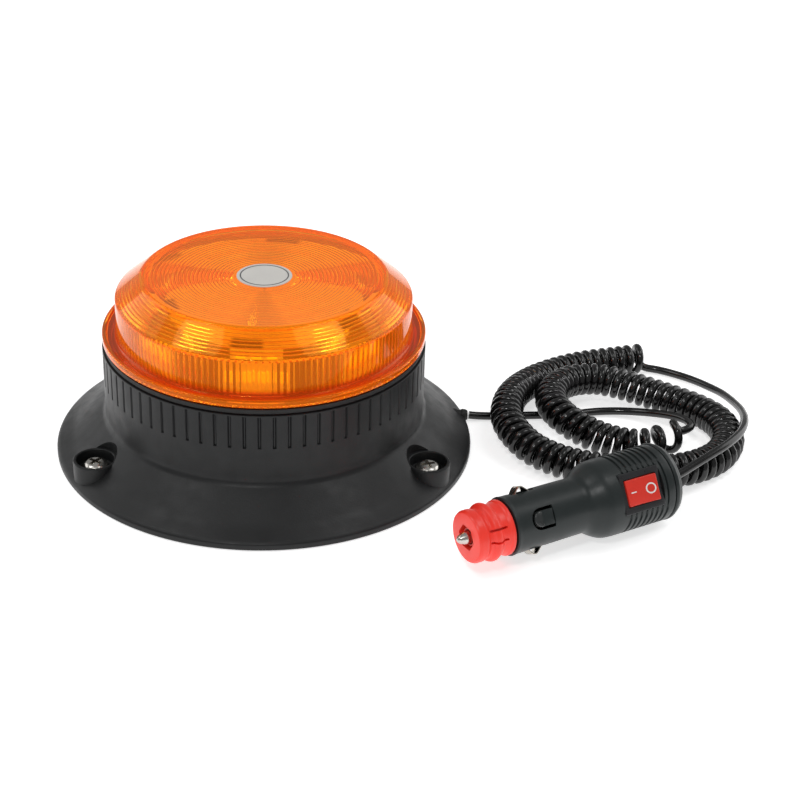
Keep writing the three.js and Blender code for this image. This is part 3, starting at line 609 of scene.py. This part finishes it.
def curl_points():
    """The helix of the curly part round its centre line."""
    centre = along(CURL_ROUTE, 0.0005)
    tangent = np.gradient(centre, axis=0)
    tangent /= np.linalg.norm(tangent, axis=1)[:, None]
    side = np.cross(tangent, [0, 0, 1])
    side /= np.linalg.norm(side, axis=1)[:, None]
    rise = np.cross(side, tangent)
    reach = np.linspace(0, 0.0005 * (len(centre) - 1), len(centre))
    length = reach[-1]
    inner_length, inner_extra = CURL_INNER_STRETCH
    outer_length, outer_extra = CURL_OUTER_STRETCH
    from_start = np.clip(1 - reach / inner_length, 0, 1)
    from_end = np.clip(1 - (length - reach) / outer_length, 0, 1)
    pitch = CURL_PITCH + inner_extra * from_start + outer_extra * from_end
    turns = np.concatenate([[0], np.cumsum(np.diff(reach) / pitch[1:])])
    count = int(turns[-1] * POINTS_PER_TURN)
    even = np.linspace(0, turns[-1], count)
    radius = CURL_R - CORD_R

    def blend(values):
        return np.stack([np.interp(even, turns, values[:, axis]) for axis in range(3)], axis=1)

    angle = even * TAU + math.pi / 2
    offset = radius * (np.cos(angle)[:, None] * blend(side) + np.sin(angle)[:, None] * blend(rise))
    return blend(centre) + offset


def eased(start, end, start_way, end_way, count):
    """Points on a short bend between two ends, leaving each along its own direction."""
    span = np.linalg.norm(end - start)
    a = start + start_way * span * 0.45
    b = end - end_way * span * 0.45
    t = np.linspace(0, 1, count)[1:-1, None]
    return start * (1 - t) ** 3 + 3 * a * t * (1 - t) ** 2 + 3 * b * t**2 * (1 - t) + end * t**3


def unit(vector):
    return vector / np.linalg.norm(vector)


def cord_points():
    first = along(BEACON_LEAD_ROUTE, 0.002)[:-2]
    curl = curl_points()
    last = along(PLUG_LEAD_ROUTE, 0.002)[2:]
    into = eased(first[-1], curl[0], unit(first[-1] - first[-2]), unit(curl[1] - curl[0]), 8)
    out = eased(curl[-1], last[0], unit(curl[-1] - curl[-2]), unit(last[1] - last[0]), 8)
    inside = [PLUG_FRAME @ (Vector((station, 0, 0)) * MM) for station in CORD_IN_PLUG]
    return np.concatenate([first, into, curl, out, last, np.array(inside)])


def make_cord(materials):
    points = cord_points()
    curve = bpy.data.curves.new("power_cord", "CURVE")
    curve.dimensions = "3D"
    curve.bevel_depth = CORD_R
    curve.bevel_resolution = 3
    curve.use_fill_caps = True
    spline = curve.splines.new("POLY")
    spline.points.add(len(points) - 1)
    for point, place in zip(spline.points, points):
        point.co = (*place, 1)
    spline.use_smooth = True
    cord = link("power_cord", curve)
    finish_piece(cord, "base", materials["cord"], "cord_jacket", *CORD_NODES)


# --------------------------------------------------------------------------- base


def grip_angles():
    """Angles that follow each grip groove's sides closely and skip over the land between."""
    pitch = 360 / GRIP_COUNT
    steps = (-0.62, -0.42, -0.2, 0.2, 0.42, 0.62, 1.6, 2.5, 3.4)
    return [math.radians(i * pitch + step) for i in range(GRIP_COUNT) for step in steps]


def grip(radius, height, angle):
    """Sinks the wall's outside into the grip grooves."""
    pitch = TAU / GRIP_COUNT
    away = abs((angle + pitch / 2) % pitch - pitch / 2)
    across = min(1, max(0, (math.radians(0.64) - away) / math.radians(0.4)))
    inside = GRIP_BOTTOM - 0.05 * MM < height < GRIP_TOP + 0.05 * MM
    if inside and radius > WALL_R - 0.1 * MM:
        return radius - GRIP_DEPTH * across, height
    return radius, height


def housing_outline():
    mm = rounded(
        [
            (74.2, 0, 0.1), (79.6, 0, 0.3), (80, 0.5, 0.2), (80, 2.4, 0.5), (79.1, 3.2, 0.5),
            (74, 6.1, 2), (64.4, 13.6, 1.4), (62.0, 15.4, 0.9), (61.2, 16.6, 0.5), (61, 18.2, 0.6),
            (61, 30.3, 0), (61, 30.5, 0), (61, 31.2, 0), (61, 36.5, 0), (61, 42.4, 0),
            (61, 42.9, 0), (61, 43.1, 0), (61, 43.6, 0.45), (58.6, 43.6, 0.3), (58.6, 35.5, 0),
            (46, 35.5, 0.2), (46, 33, 0.2), (58.6, 33, 0), (58.6, 16, 0.4), (74.2, 3.8, 0.3),
        ],
        5,
    )
    return millimetres(mm)


def boss_outline(inner_sleeve):
    """A screw boss from its axis outwards; the sleeve closes the shell behind the screwdriver's way."""
    corners = [(0, 0.2, 0), (BOSS_R, 0.2, 0), (BOSS_R, BOSS_TOP, 0.55), (0, BOSS_TOP, 0)]
    if inner_sleeve:
        foot = BOSS_TOP - 2
        corners = [(0, foot, 0), (SLEEVE_R, foot, 0), (SLEEVE_R, SLEEVE_TOP, 0), (0, SLEEVE_TOP, 0)]
    return millimetres(rounded(corners, 5))


def well_outline():
    """The screwdriver's way, the well and the screw hole, as one turned cutter."""
    mm = rounded(
        [
            (0, -1, 0), (2.5, -1, 0), (2.5, 6.6, 0.1), (6.9, 6.6, 0.4), (6.9, BOSS_TOP, 0.45),
            (BOSS_R, BOSS_TOP, 0), (BOSS_R, 24, 0), (0, 24, 0),
        ],
        4,
    )
    return millimetres(mm)


def standing_at(piece, place, height=0.0, spin=0.0):
    piece.data.transform(Matrix.Translation((place[0], place[1], height)) @ Matrix.Rotation(spin, 4, "Z"))
    return piece


def skirt_core():
    """The space under the cone's outside, to trim the sleeves with."""
    mm = [
        (0, 0.5), (80, 0.5), (80, 2.4), (79.1, 3.2), (74, 6.1), (64.4, 13.6), (62, 15.4), (61.2, 16.6),
        (61, SLEEVE_TOP), (0, SLEEVE_TOP),
    ]
    return turned("skirt_core", millimetres(mm), 180)


def at_bosses(name, single, outline, segments):
    """The same turned piece at each boss, as one."""
    pieces = []
    for angle in BOSS_ANGLES:
        piece = turned(single, outline, segments)
        pieces.append(standing_at(piece, polar(BOSS_CIRCLE_R, angle)))
    return merged(name, pieces)


def make_housing(materials):
    housing = turned("housing", housing_outline(), reshape=grip, angles=grip_angles())
    sleeves = at_bosses("sleeves", "sleeve", boss_outline(True), 72)
    combine(sleeves, skirt_core(), "INTERSECT")
    combine(housing, sleeves, "UNION")
    combine(housing, at_bosses("bosses", "boss", boss_outline(False), 96), "UNION")
    combine(housing, at_bosses("wells", "well", well_outline(), 96))
    combine(housing, exit_cutter())
    return finish_piece(housing, "base", materials["charcoal"], "charcoal_plastic", "base_housing")


def exit_cutter():
    """The slot in the rim that the cord's grommet sits in."""
    radius = 2.6 * MM
    arch = []
    for k in range(25):
        angle = TAU * k / 48
        arch.append((EXIT_Y + radius * math.cos(angle), EXIT_Z + radius * math.sin(angle)))
    arch += [(EXIT_Y - radius, -2 * MM), (EXIT_Y + radius, -2 * MM)]
    cutter = prism("exit_cutter", arch, 68 * MM, 90 * MM)
    cutter.data.transform(AXIS_ALONG_X)
    return cutter


def pan_screw(name, head_r, head_height, shank_r, shank_length):
    """A pan-head screw with a cross recess, its head's underside at height 0."""
    outline = rounded(
        [
            (0, -shank_length, 0), (shank_r * 0.6, -shank_length, 0),
            (shank_r, -shank_length + shank_r, 0), (shank_r, 0, 0), (head_r, 0, head_r * 0.06),
            (head_r, head_height * 0.5, head_r * 0.3),
            (head_r * 0.72, head_height * 0.92, head_r * 0.4), (0, head_height, 0),
        ],
        5,
    )
    screw = turned(name, outline, 72)
    arms = []
    for turn in (0, 90):
        reach = head_r * 0.62
        half = head_r * 0.15
        top = head_height * 1.2
        low = head_height * 0.35
        taper = [(-reach, top), (reach, top), (reach * 0.72, low), (-reach * 0.72, low)]
        arm = prism("arm", taper, -half, half)
        arm.data.transform(Matrix.Rotation(math.radians(90), 4, "X"))
        arm.data.transform(Matrix.Rotation(math.radians(turn), 4, "Z"))
        arms.append(arm)
    combine(arms[0], arms[1], "UNION")
    return combine(screw, arms[0])


def make_base_screws(materials):
    for i, angle in enumerate(BOSS_ANGLES):
        screw = pan_screw(f"boss_screw_{i + 1}", SCREW_HEAD_R, SCREW_HEAD_HEIGHT, 2 * MM, 6 * MM)
        spin = math.radians(angle + 24 * i)
        standing_at(screw, polar(BOSS_CIRCLE_R, angle), WELL_FLOOR + 0.3 * MM, spin)
        finish_piece(screw, "base", materials["steel"], "steel", f"mounting_screw_{i + 1}")


def make_gasket(materials):
    corners = [
        (57.9, 43.9, 0.2), (60.4, 43.9, 0.5), (60.1, 45.0, 0.5), (60.5, 45.8, 0.3), (57.9, 45.8, 0.2),
    ]
    gasket = turned("gasket", millimetres(rounded(corners, 4)), 240)
    return finish_piece(gasket, "base", materials["rubber"], "black_rubber", "lens_gasket")


def make_grommet(materials):
    corners = [
        (1.62, 0.0, 0), (2.2, 0.0, 0), (2.2, 4.6, 0.3), (2.45, 5.0, 0.2), (2.3, 6.4, 0.4),
        (1.8, 7.2, 0.2), (1.62, 7.2, 0),
    ]
    grommet = turned("grommet", millimetres(rounded(corners, 4)), 48)
    grommet.data.transform(Matrix.Translation((72.9 * MM, EXIT_Y, EXIT_Z)) @ AXIS_ALONG_X)
    return finish_piece(grommet, "base", materials["rubber"], "black_rubber", "cord_grommet")


# --------------------------------------------------------------------------- lens


def ridges(start, end, count, height):
    """A saw-toothed line of corners between two points, its teeth standing out on the left."""
    a = Vector(start)
    b = Vector(end)
    step = (b - a) / count
    out = Vector((-step.y, step.x)).normalized() * height
    corners = []
    for i in range(count):
        foot = a + step * i
        for corner in (foot + step * 0.06, foot + step * 0.42 + out, foot + step * 0.94):
            corners.append((*corner, 0))
    return corners


def lens_outline():
    """The lens in section: a smooth outside, with ridges inside the slope and the top."""
    outside = [
        (55.2, 39.3, 0.2), (57.4, 39.3, 0.2), (57.4, 46.4, 0), (60.4, 46.4, 0.1), (60.8, 46.8, 0.1),
        (60.8, 49.0, 0.3), (60.3, 49.3, 0.2), (59.3, 49.3, 0.2), (58.8, 48.3, 0.2), (56.1, 48.3, 0.4),
        (55.5, 49.2, 0.3), (55.5, 62.6, 0.5), (54.9, 63.1, 0.3), (46.2, 70.2, 0.6), (45.3, 70.7, 0.4),
        (43.5, 70.6, 0.4), (28, 69.8, 0), (11.2, 69.5, 0), (0, 69.5, 0),
    ]
    top_inside = [(0, 67.2, 0), (10.5, 67.2, 0)]
    top_inside += [(r, z, 0) for r, z, _ in ridges((12, 67.25), (42.6, 68.1), 22, 0.42)]
    slope_inside = [(r, z, 0) for r, z, _ in ridges((43.8, 68.0), (53.0, 61.3), 8, 0.5)]
    wall_inside = [(53.2, 60.9, 0), (53.2, 47.6, 0.4), (55.2, 46.4, 0)]
    return millimetres(rounded(outside + top_inside + slope_inside + wall_inside, 3))


def flute(radius, height, angle):
    """Fine upright flutes on the inside of the lens wall."""
    on_inside = radius < 53.6 * MM and 47.2 * MM < height < 61.1 * MM
    if on_inside:
        return radius + 0.42 * MM * abs(math.sin(angle * LENS_FLUTES / 2)), height
    return radius, height


def make_lens(materials):
    lens = turned("amber_lens", lens_outline(), LENS_FLUTES * 4, flute, sharp_degrees=20)
    lugs = [lens]
    for angle in (0, 120, 240):
        outline = [polar(58.25 * MM, angle - 7 + k * 2) for k in range(8)]
        outline += [polar(56.4 * MM, angle + 7 - k * 2) for k in range(8)]
        lugs.append(prism("lug", outline, SPIGOT_BOTTOM, SPIGOT_BOTTOM + 1.5 * MM))
    lens = merged("amber_lens", lugs)
    smooth(lens.data, 20)
    return finish_piece(lens, "lens_body", materials["amber"], "amber_lens", "lens")


def make_label(materials):
    disc = rounded([(0, 69.52, 0), (10.35, 69.52, 0), (10.35, 69.8, 0.12), (0, 69.82, 0)], 3)
    label = turned("round_label", millimetres(disc), 160)
    finish_piece(label, "lens_body", materials["label"], "label", "top_label")
    ring = millimetres([(8.7, 69.8), (9.15, 69.8), (9.15, 69.85), (8.7, 69.85)])
    border = turned("label_border", ring, 160)
    finish_piece(border, "lens_body", materials["label_ring"], "label")


# ---------------------------------------------------------------- inside the lens


def make_reflector(materials):
    """The disc over the light modules."""
    outline = millimetres(
        rounded(
            [
                (0, 57.3, 0), (43, 57.3, 0.2), (43, 58.6, 0.3), (37, 58.9, 0.6), (30, 60.2, 2),
                (20, 61.0, 2), (8, 61.8, 1), (0, 61.8, 0),
            ],
            4,
        )
    )
    disc = turned("reflector_disc", outline, 180)
    return finish_piece(disc, "base", materials["reflector"], "aluminium", "top_reflector")


def make_modules(materials):
    """Six light modules round the carrier, each a board with three light chips."""
    for i in range(MODULE_COUNT):
        angle = 360 // MODULE_COUNT * i + MODULE_ANGLE
        x, y = polar(MODULE_CIRCLE_R, angle)
        spin = Matrix.Rotation(math.radians(angle + 90), 4, "Z")
        place = Matrix.Translation((x, y, MODULE_FOOT)) @ spin
        board = box("board", (-10 * MM, -1.2 * MM, 0), (10 * MM, 0, 15 * MM))
        bevelled(board, 0.15 * MM)
        chips = []
        for across in (-6, 0, 6):
            chip = rounded_bar("chip", (across - 1.75, -2.1, 5.7), (across + 1.75, -1.1, 9.3), 0.3)
            bevelled(chip, 0.15 * MM)
            chips.append(chip)
        lights = merged(f"light_chips_{i + 1}", chips)
        board.name = f"light_board_{i + 1}"
        for piece in (board, lights):
            piece.data.transform(place)
        # The module boards glow with painted light.
        finish_piece(board, "base", materials["board_white"], "board_white", f"led_module_{i + 1}")
        finish_piece(lights, "base", materials["phosphor"], "board_white")


# --------------------------------------------------------------------------- plug


def plug_matrix():
    """The plug's own frame: x along its axis, y across the switch panel, z out of the panel."""
    along_x = Vector((math.cos(PLUG_HEADING), math.sin(PLUG_HEADING), 0))
    level = Vector((along_x.y, -along_x.x, 0))
    normal = Vector((0, 0, 1)) * math.cos(PLUG_ROLL) + level * math.sin(PLUG_ROLL)
    side = normal.cross(along_x)
    return Matrix.Translation(PLUG_NOSE) @ Matrix((along_x, side, normal)).transposed().to_4x4()


PLUG_FRAME = plug_matrix()


def on_plug(piece):
    piece.data.transform(PLUG_FRAME)
    return piece


def plug_turned(name, corners, segments=96, reshape=None, steps=5, sharp_degrees=32):
    """A piece turned about the plug's axis, from (station, radius, corner radius) in millimetres."""
    outline = millimetres(rounded([(r, x, corner) for x, r, corner in corners], steps))
    piece = turned(name, outline, segments, reshape, sharp_degrees)
    piece.data.transform(AXIS_ALONG_X)
    return piece


def rounded_bar(name, low, high, corner, steps=5):
    """A bar standing on the panel, with rounded corners in plan; sizes in millimetres."""
    plan = [(low[0], low[1]), (high[0], low[1]), (high[0], high[1]), (low[0], high[1])]
    outline = rounded([(x, y, corner) for x, y in plan], steps)
    return prism(name, millimetres(outline), low[2] * MM, high[2] * MM)


def round_fronted(front, rear, half_width):
    """An x-y outline that is straight at the rear and half round at the front."""
    outline = [(rear, -half_width), (rear, half_width)]
    for k in range(17):
        angle = math.radians(90 + 180 * k / 16)
        x = front + half_width + half_width * math.cos(angle)
        outline.append((x, half_width * math.sin(angle)))
    return millimetres(outline)


def rib_stations():
    return [RIB_START + i * RIB_PITCH for i in range(RIB_COUNT)]


RIB_SECTION = (
    (-0.62, PLUG_BODY_R), (-0.38, 13.6), (0, RIB_FLOOR_R), (0.38, 13.6), (0.62, PLUG_BODY_R),
)


def body_corners():
    corners = [
        (46.5, 8.6, 0), (14.9, 8.6, 0.1), (14.9, 10.3, 0.3), (15.3, 10.62, 0.3), (16.6, 10.4, 0.6),
        (30, 10.25, 0),
        (45.8, 10.1, 3.5), (49.0, 12.2, 3.0), (52.2, 13.9, 2.2), (56.0, PLUG_BODY_R, 2.0),
    ]
    for x in rib_stations():
        for offset, radius in RIB_SECTION:
            corners.append((x + offset, radius, 0))
    return corners + [(78.4, PLUG_BODY_R, 0), (79.6, 14.05, 0.3), (79.6, 11.6, 0), (53, 11.6, 0)]


def fade_ribs(radius, station, angle):
    """Keeps the rib grooves to the two flanks beside the switch panel."""
    among_ribs = RIB_START - 1 < station / MM < RIB_START + RIB_COUNT * RIB_PITCH
    if not among_ribs or radius <= RIB_FLOOR_R * MM:
        return radius, station
    across = abs(PLUG_BODY_R * math.cos(angle))
    kept = min(1, max(0, (across - 8.3) / 0.7))
    full = PLUG_BODY_R * MM
    return full - (full - radius) * kept, station


def make_plug_body(materials):
    body = plug_turned("plug_shell", body_corners(), 144, fade_ribs)
    pocket = rounded_bar("pocket", (57, -9, 12.1), (74.5, 9, 16), 0.4)
    combine(body, pocket)
    tools = [
        rounded_bar("switch_hole", (57.5, -6.3, 6), (74, 6.3, 13), 0.4),
        prism("latch_slot", round_fronted(21.1, 30.3, 3.85), 5 * MM, 12 * MM),
    ]
    slot = [(19.5, -2.7), (29.1, -2.7), (29.1, 2.7), (19.5, 2.7)]
    for low, high in ((6, 14), (-14, -6)):
        contact_slot = prism("contact_slot", millimetres(slot), low * MM, high * MM)
        contact_slot.data.transform(Matrix.Rotation(math.radians(90), 4, "X"))
        tools.append(contact_slot)
    combine(body, merged("openings", tools))
    on_plug(body)
    return finish_piece(body, "base", materials["plug"], "plug_plastic", "plug_body")


def make_rear_cap(materials):
    cap = plug_turned(
        "rear_cap",
        [
            (79.9, 3.6, 0.1), (79.9, 14.0, 0.2), (80.3, 14.35, 0.25), (81.2, 14.3, 0.3),
            (81.7, 13.95, 0.3), (83.2, 13.2, 0.8), (84, 11.6, 0.8), (84, 3.6, 0.3),
        ],
    )
    on_plug(cap)
    finish_piece(cap, "base", materials["plug"], "plug_plastic", "plug_rear_cap")
    relief = plug_turned(
        "plug_relief",
        [
            (81, 0, 0), (81, 3.2, 0.2), (84.4, 3.2, 0.3), (84.8, 2.7, 0.2), (85.2, 3.0, 0.2),
            (85.7, 2.5, 0.2), (86.1, 2.75, 0.2), (86.6, 2.2, 0.2), (87, 2.1, 0.2), (87, 0, 0),
        ],
        64,
    )
    on_plug(relief)
    finish_piece(relief, "base", materials["rubber"], "black_rubber", "plug_strain_relief")


def make_switch(materials):
    frame_piece = rounded_bar("switch_surround", (57.2, -7.3, 12.4), (74.3, 7.3, 13.2), 0.7)
    bevelled(frame_piece, 0.25 * MM)
    tub = rounded_bar("tub", (57.75, -6, 5), (73.75, 6, 12.6), 0.3)
    combine(frame_piece, tub, "UNION")
    combine(frame_piece, rounded_bar("opening", (58.75, -5.0, 6), (72.75, 5.0, 15), 0.3))
    on_plug(frame_piece)
    finish_piece(frame_piece, "base", materials["switch"], "switch_plastic", "switch_frame")

    profile = []
    for first, last in ((-18, 24), (156, 198)):
        for k in range(9):
            angle = math.radians(first + (last - first) * k / 8)
            profile.append((ROCKER_R * math.cos(angle), ROCKER_R * math.sin(angle)))
        if first < 0:
            profile += [(3.4, 2.26), (1.4, 2.02), (0, 1.95), (-1.4, 2.02), (-3.4, 2.26)]
    rocker = prism("rocker", millimetres(profile), -4.7 * MM, 4.7 * MM)
    rocker.data.transform(Matrix.Rotation(math.radians(90), 4, "X"))
    bevelled(rocker, 0.3 * MM, 3)
    marks = [ring_mark(), bar_mark()]
    pivot = Matrix.Translation((ROCKER_STATION * MM, 0, ROCKER_HEIGHT * MM))
    place = pivot @ Matrix.Rotation(math.radians(ROCKER_REST_TILT), 4, "Y")
    for piece in [rocker, *marks]:
        piece.data.transform(place)
        on_plug(piece)
    finish_piece(rocker, "rocker_body", materials["red"], "red_plastic", "switch_rocker")
    for mark in marks:
        finish_piece(mark, "rocker_body", materials["mark"], "red_plastic")


def mark_place(x):
    """Where a mark lies on the rocker's dished face."""
    height = 1.95 + abs(x) * 0.105
    slope = math.atan(0.135) * (1 if x > 0 else -1)
    return Matrix.Translation((x * MM, 0, height * MM)) @ Matrix.Rotation(-slope, 4, "Y")


def ring_mark():
    corners = [(1.45, -0.1, 0), (1.95, -0.1, 0), (1.95, 0.12, 0.05), (1.45, 0.12, 0.05)]
    ring = turned("off_mark", millimetres(rounded(corners)), 64)
    ring.data.transform(mark_place(3.4))
    return ring


def bar_mark():
    bar = rounded_bar("on_mark", (-1.1, -0.2, -0.1), (1.1, 0.2, 0.14), 0.15)
    bar.data.transform(mark_place(-3.5))
    return bar


def make_adapter(materials):
    adapter = plug_turned(
        "adapter",
        [
            (0, 0, 0), (0, 8.5, 0), (0.05, 8.9, 0.6), (0.9, 9.42, 1.0), (3.4, 9.45, 0.9),
            (4.6, 8.75, 0.6), (5.6, 8.9, 0.6), (6.4, 10.2, 0.9), (7.8, 10.55, 1.1), (9.0, 9.9, 0.8),
            (9.9, 9.1, 0.7), (12.4, 9.45, 0.6), (13.1, 10.0, 0.4), (14.3, 9.95, 0.3),
            (14.5, 9.0, 0.1), (14.5, 8.3, 0), (18.8, 8.3, 0.3), (18.8, 6.6, 0.1), (5.8, 6.6, 0),
            (5.8, 0, 0),
        ],
        144,
    )
    corners = [(*polar(HEXAGON_R, 60 * i), 0.5) for i in range(6)]
    hexagon = prism("hexagon", millimetres(rounded(corners, 4)), -1 * MM, 7 * MM)
    hexagon.data.transform(AXIS_ALONG_X)
    tools = [hexagon]
    for degrees in (4, -23):
        slot = rounded_bar("slot", (4.6, -0.4, 7.6), (11.6, 0.4, 13), 0.38)
        slot.data.transform(Matrix.Rotation(math.radians(-degrees), 4, "X"))
        tools.append(slot)
    combine(adapter, merged("slots", tools))
    on_plug(adapter)
    finish_piece(adapter, "adapter_body", materials["adapter_red"], "red_plastic", "plug_adapter")

    collar = plug_turned(
        "pin_sleeve",
        [
            (1.0, 2.75, 0.1), (1.0, 3.2, 0.3), (1.6, 3.5, 0.3), (6.4, 3.6, 0), (6.4, 5.9, 0),
            (7.9, 5.9, 0), (7.9, 2.75, 0),
        ],
        72,
    )
    finish_piece(on_plug(collar), "adapter_body", materials["red"], "red_plastic", "pin_collar")
    ring = plug_turned("clip_ring", [(2.2, 3.7, 0), (2.2, 4.1, 0.1), (4.4, 4.1, 0.1), (4.4, 3.7, 0)], 72)
    finish_piece(on_plug(ring), "adapter_body", materials["brass"], "brass", "collar_ring")
    pin = plug_turned(
        "tip_pin",
        [
            (-3.7, 0, 0), (-3.7, 0.6, 0.25), (-3.0, 1.35, 0.5), (-1.3, 2.1, 0.7), (-0.4, 2.4, 0.5),
            (8.2, 2.4, 0), (8.2, 5.2, 0.2), (9.6, 5.2, 0.2), (9.6, 0, 0),
        ],
        96,
    )
    finish_piece(on_plug(pin), "pin_body", materials["steel"], "steel", "contact_pin")


def make_contacts(materials):
    top = [
        (20, 9.2), (20.8, 9.5), (21.6, 10.3), (22.4, 11.3), (23.2, 12.0), (23.9, 12.3), (24.6, 12.2),
        (25.4, 11.6), (26.2, 10.8), (27.0, 10.1), (27.9, 9.5), (28.6, 9.2),
    ]
    outline = top + [(x, r - 0.5) for x, r in reversed(top)]
    for number, turn in ((1, 0), (2, 180)):
        strip = prism(f"side_contact_{number}", millimetres(outline), -2.3 * MM, 2.3 * MM, 40)
        bevelled(strip, 0.12 * MM, 2, 40)
        strip.data.transform(Matrix.Rotation(math.radians(turn), 4, "X"))
        on_plug(strip)
        body, node = f"earth_body_{number}", f"earth_contact_{number}"
        finish_piece(strip, body, materials["spring"], "spring_steel", node)


def make_latch(materials):
    flat = prism("latch", round_fronted(22.1, 30.0, 2.75), 7.9 * MM, 10.0 * MM)
    bevelled(flat, 0.15 * MM)
    button = prism("latch_button", round_fronted(22.0, 25.4, 2.8), 9.0 * MM, 10.7 * MM)
    bevelled(button, 0.6 * MM, 5)
    dip = prism("dip", round_fronted(22.9, 26.6, 1.9), 10.1 * MM, 12 * MM)
    bevelled(dip, 0.3 * MM, 3)
    combine(button, dip, "DIFFERENCE")
    for piece in (flat, button):
        on_plug(piece)
    finish_piece(flat, "latch_body", materials["plug"], "plug_plastic", "latch_tab")
    finish_piece(button, "latch_body", materials["button"], "plug_plastic")


def make_pin_spring(materials):
    points = []
    steps = SPRING_TURNS * 16
    for k in range(steps + 1):
        angle = TAU * k / 16
        station = SPRING_START + SPRING_LENGTH * k / steps
        points.append((station, SPRING_R * math.cos(angle), SPRING_R * math.sin(angle)))
    curve = bpy.data.curves.new("tip_spring", "CURVE")
    curve.dimensions = "3D"
    curve.bevel_depth = SPRING_WIRE_R * MM
    curve.bevel_resolution = 2
    spline = curve.splines.new("POLY")
    spline.points.add(len(points) - 1)
    for point, place in zip(spline.points, points):
        point.co = (*(PLUG_FRAME @ (Vector(place) * MM)), 1)
    spring = link("tip_spring", curve)
    finish_piece(spring, "base", materials["spring"], "spring_steel", "pin_spring")


def make_plug(materials):
    make_plug_body(materials)
    make_rear_cap(materials)
    make_switch(materials)
    make_adapter(materials)
    make_contacts(materials)
    make_latch(materials)
    make_pin_spring(materials)


# -------------------------------------------------------------------------- stage


def make_stage():
    floor = box("floor", (-12, -12, -0.02), (12, 12, -0.0002))
    shader = Shader("floor", (0.90, 0.90, 0.90), 0.8)
    shader.vary_color((0.89, 0.89, 0.89), 3)
    shader.set("Specular IOR Level", 0.1)
    shader.set("Emission Color", (1, 1, 1, 1))
    shader.set("Emission Strength", 0.62)
    floor.data.materials.append(shader.material)
    world = bpy.data.worlds.new("studio")
    bpy.context.scene.world = world
    world.use_nodes = True
    background = world.node_tree.nodes["Background"]
    background.inputs["Color"].default_value = (1, 1, 1, 1)
    background.inputs["Strength"].default_value = 0.33
    bpy.context.scene.view_settings.view_transform = "Standard"


def soft_light(name, place, target, size, power):
    data = bpy.data.lights.new(name, "AREA")
    data.shape = "RECTANGLE"
    data.size = size[0]
    data.size_y = size[1]
    data.energy = power
    light = bpy.data.objects.new(name, data)
    light.location = place
    light.rotation_euler = (Vector(target) - Vector(place)).to_track_quat("-Z", "Y").to_euler()
    bpy.context.scene.collection.objects.link(light)


def make_lights():
    middle = (0.05, -0.02, 0.03)
    soft_light("left_softbox", (-0.64, -0.1, 1.13), middle, (0.42, 0.42), 2.1)
    soft_light("right_softbox", (0.55, -0.1, 1.15), middle, (0.42, 0.42), 2.1)
    soft_light("left_fill", (-1.2, 0.55, 0.5), middle, (1.0, 1.2), 4.5)
    soft_light("right_fill", (1.2, 0.6, 0.55), middle, (1.0, 1.2), 5.5)
    soft_light("front_lamp", (-0.25, -1.0, 1.3), middle, (0.18, 0.18), 4)


# ----------------------------------------------------------------------- assembly

make_camera()
make_stage()
make_lights()
materials = make_materials()
make_housing(materials)
make_base_screws(materials)
make_gasket(materials)
make_grommet(materials)
make_lens(materials)
make_label(materials)
make_reflector(materials)
make_modules(materials)
make_plug(materials)
make_cord(materials)

CAD_FINISHES = {
    "rubber": ["rubber_pad"],
    "steel": ["base_plate"] + [f"{kind}_screw_{i}" for kind in ("plate", "board") for i in (1, 2, 3)],
    "aluminium": ["module_carrier"],
    # The LED board takes the greyer, unglowing copy of the white board: painted shade.
    "board_white_painted_shade": ["led_board"],
    "board_green": ["driver_board", "plug_board"],
    "magnet": [f"magnet_{i}" for i in (1, 2, 3)],
    "sleeve": ["capacitor"],
    "copper": ["inductor"],
    "switch": ["inner_core"],
    "glass": ["fuse"],
}
for finish, names in CAD_FINISHES.items():
    for name in names:
        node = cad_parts[name]
        node.data.materials.clear()
        node.data.materials.append(materials[finish])
